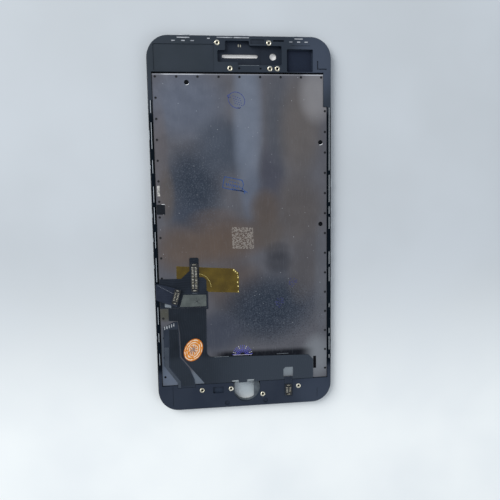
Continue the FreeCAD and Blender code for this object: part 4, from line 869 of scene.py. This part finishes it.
# Section of the turned lip, from outside to inside: radius and height
LIP_SECTION = [(0.94, 2.975), (0.9, 3.02), (0.74, 3.05), (0.56, 3.03), (0.52, 2.98)]
LIP_SIDES = 28
PORTS = [(-21.79, 58.61), (32.61, 34.67), (32.64, 0.87)]
PORT_FLOOR = 2.2
# Discs of painted shade in the three ports and in the slot
PORT_SHADE_RADIUS = 0.93
# Painted glints on the rims of two ports
GLINT_RADIUS, GLINT_WIRE = 1.02, 0.12
GLINT_AT = 2.44
SLOT_SHADE = [(29.2, -61.65), (30.65, -61.65), (30.65, -56.15), (29.2, -56.15)]
FRAME_TOP = 2.9
TRAY_FLOOR = 1.4
TRAY_SEAT = [(19.1, 63.1), (29.2, 63.1), (29.2, 71.4), (19.1, 71.4)]


def make_insert_details():
    """A thread in each brass insert, and a turned lip round its mouth."""
    points, faces = [], []
    for x, y in INSERTS:
        line = []
        for i in range(THREAD_TURNS * THREAD_STEPS + 1):
            angle = 2 * math.pi * i / THREAD_STEPS
            line.append((x + THREAD_RADIUS * math.cos(angle), y + THREAD_RADIUS * math.sin(angle),
                         THREAD_FOOT + THREAD_LENGTH * i / (THREAD_TURNS * THREAD_STEPS)))
        tube(points, faces, line, THREAD_WIRE, 4)
    new_piece("insert_threads", points, faces, deep_brass)
    points, faces = [], []
    for centre in INSERTS:
        first = len(points)
        for radius, height in LIP_SECTION:
            points += [(x, y, height) for x, y in ring(centre, radius, radius, LIP_SIDES)]
        skin(faces, first, len(LIP_SECTION), LIP_SIDES, closed=True)
    new_piece("insert_lips", points, faces, brass, smooth=True)


def make_port_details():
    """Painted glints on the rims of two of the larger holes, and discs of painted shade in all three and in
    the slot.
    """
    points, faces = [], []
    # Painted glints on the rims of two of the larger holes
    for centre in PORTS[:2]:
        arc = on_ellipse(centre, (GLINT_RADIUS, GLINT_RADIUS), 0, -110, -30, 12)
        tube(points, faces, [(x, y, GLINT_AT) for x, y in arc], GLINT_WIRE, 6)
    new_piece("port_glints", points, faces, painted_glint)
    # Painted shade: dark discs in the three ports and in the slot
    discs = [ring(centre, PORT_SHADE_RADIUS, PORT_SHADE_RADIUS, 24) for centre in PORTS]
    patches("port_shade_discs", discs + [SLOT_SHADE], PORT_FLOOR, 0.02, hole_shadow)


def make_frame_details():
    """Thin pale ridge beside the earpiece recess, painted as a highlight, and a foam seat in the sensor tray.
    """
    ridge = [(-0.7, 65.22), (3.4, 65.2), (7.4, 65.2)]
    # Painted highlight: a thin pale ridge along the recess edge
    strokes("recess_ridge", [ridge], 0.12, FRAME_TOP, pale_edge_and_highlight)
    patches("tray_seat", [TRAY_SEAT], TRAY_FLOOR, 0.05, black_foam)


# The order matters, because the strokes and the speckles share one row of random numbers
make_ink_loop()
make_ink_box()
make_worn_stamps()
make_fan()
make_speckle_patch()
make_flex_details()
make_tape_blisters()
make_insert_details()
make_port_details()
make_frame_details()


# Light and floor. Places and sizes of lamps and floor are in metres.

SKY = (0.66, 0.70, 0.755, 1)
SKY_STRENGTH = 0.74
FLOOR_HALF = 1.6
FLOOR_AT = -0.0006
# Floor seen through the slot and hole at the head, painted light with a glow, and through the button hole,
# painted shade: centre and radii
PAINTED_GLOW_UNDER_HEAD = ((0, 70), (30, 6))
PAINTED_SHADE_UNDER_BUTTON = ((1, -68), (12, 8))
HEAD_GLOW = 0.22


def area_light(name, at, power, size, colour):
    """A square lamp that shines on the origin."""
    data = bpy.data.lights.new(name, "AREA")
    data.energy = power
    data.size = size
    data.color = colour
    lamp = bpy.data.objects.new(name, data)
    scene.collection.objects.link(lamp)
    lamp.location = Vector(at)
    lamp.rotation_euler = (-Vector(at)).to_track_quat("-Z", "Y").to_euler()


def make_sky():
    """Even light from all round."""
    world = bpy.data.worlds.new("world")
    scene.world = world
    world.use_nodes = True
    background = world.node_tree.nodes["Background"]
    background.inputs[0].default_value = SKY
    background.inputs[1].default_value = SKY_STRENGTH


def floor_surface():
    """Pale floor, painted paler towards the foot, with a painted glow where it shows at the head and painted
    shade where it shows through the button hole.
    """
    s = Surface("pale_floor", rough=0.7)
    # Painted light: the floor grows paler towards the foot
    colour = s.mix(s.rise(s.y, -100, 0), (234, 238, 238), (182, 188, 193))
    colour = s.over(colour, (200, 207, 214), s.spread(s.noise(60.0, 3.0)), 0.3)
    # Painted light: a white patch where the floor shows at the head
    colour = s.over(colour, (252, 252, 252), s.near(*PAINTED_GLOW_UNDER_HEAD))
    # Painted shade: a darker patch where the floor shows through the button hole
    colour = s.over(colour, (172, 182, 188), s.near(*PAINTED_SHADE_UNDER_BUTTON))
    ray = s.tree.nodes.new("ShaderNodeLightPath").outputs
    mirrored = s.math("MAXIMUM", ray["Is Glossy Ray"], ray["Is Transmission Ray"])
    seen = s.math("MAXIMUM", ray["Is Camera Ray"], mirrored)
    # Painted light: a glow seen directly and in reflections, which lights nothing
    s.set("Emission Strength", s.times(s.times(seen, s.near(*PAINTED_GLOW_UNDER_HEAD)), HEAD_GLOW))
    s.set("Emission Color", (1.0, 1.0, 1.0, 1.0))
    return s.finish(colour)


def make_floor():
    """A square floor close under the glass."""
    mesh = bpy.data.meshes.new("floor")
    corners = [(-1, -1), (1, -1), (1, 1), (-1, 1)]
    mesh.from_pydata([(x * FLOOR_HALF, y * FLOOR_HALF, FLOOR_AT) for x, y in corners], [], [[0, 1, 2, 3]])
    mesh.materials.append(floor_surface())
    floor = bpy.data.objects.new("floor", mesh)
    scene.collection.objects.link(floor)


area_light("key", at=(-0.75, 0.55, 0.75), power=13.5, size=0.8, colour=(1.0, 0.99, 0.97))
area_light("fill", at=(0.8, -0.5, 0.6), power=2.5, size=0.6, colour=(0.94, 0.97, 1.0))
make_sky()
make_floor()
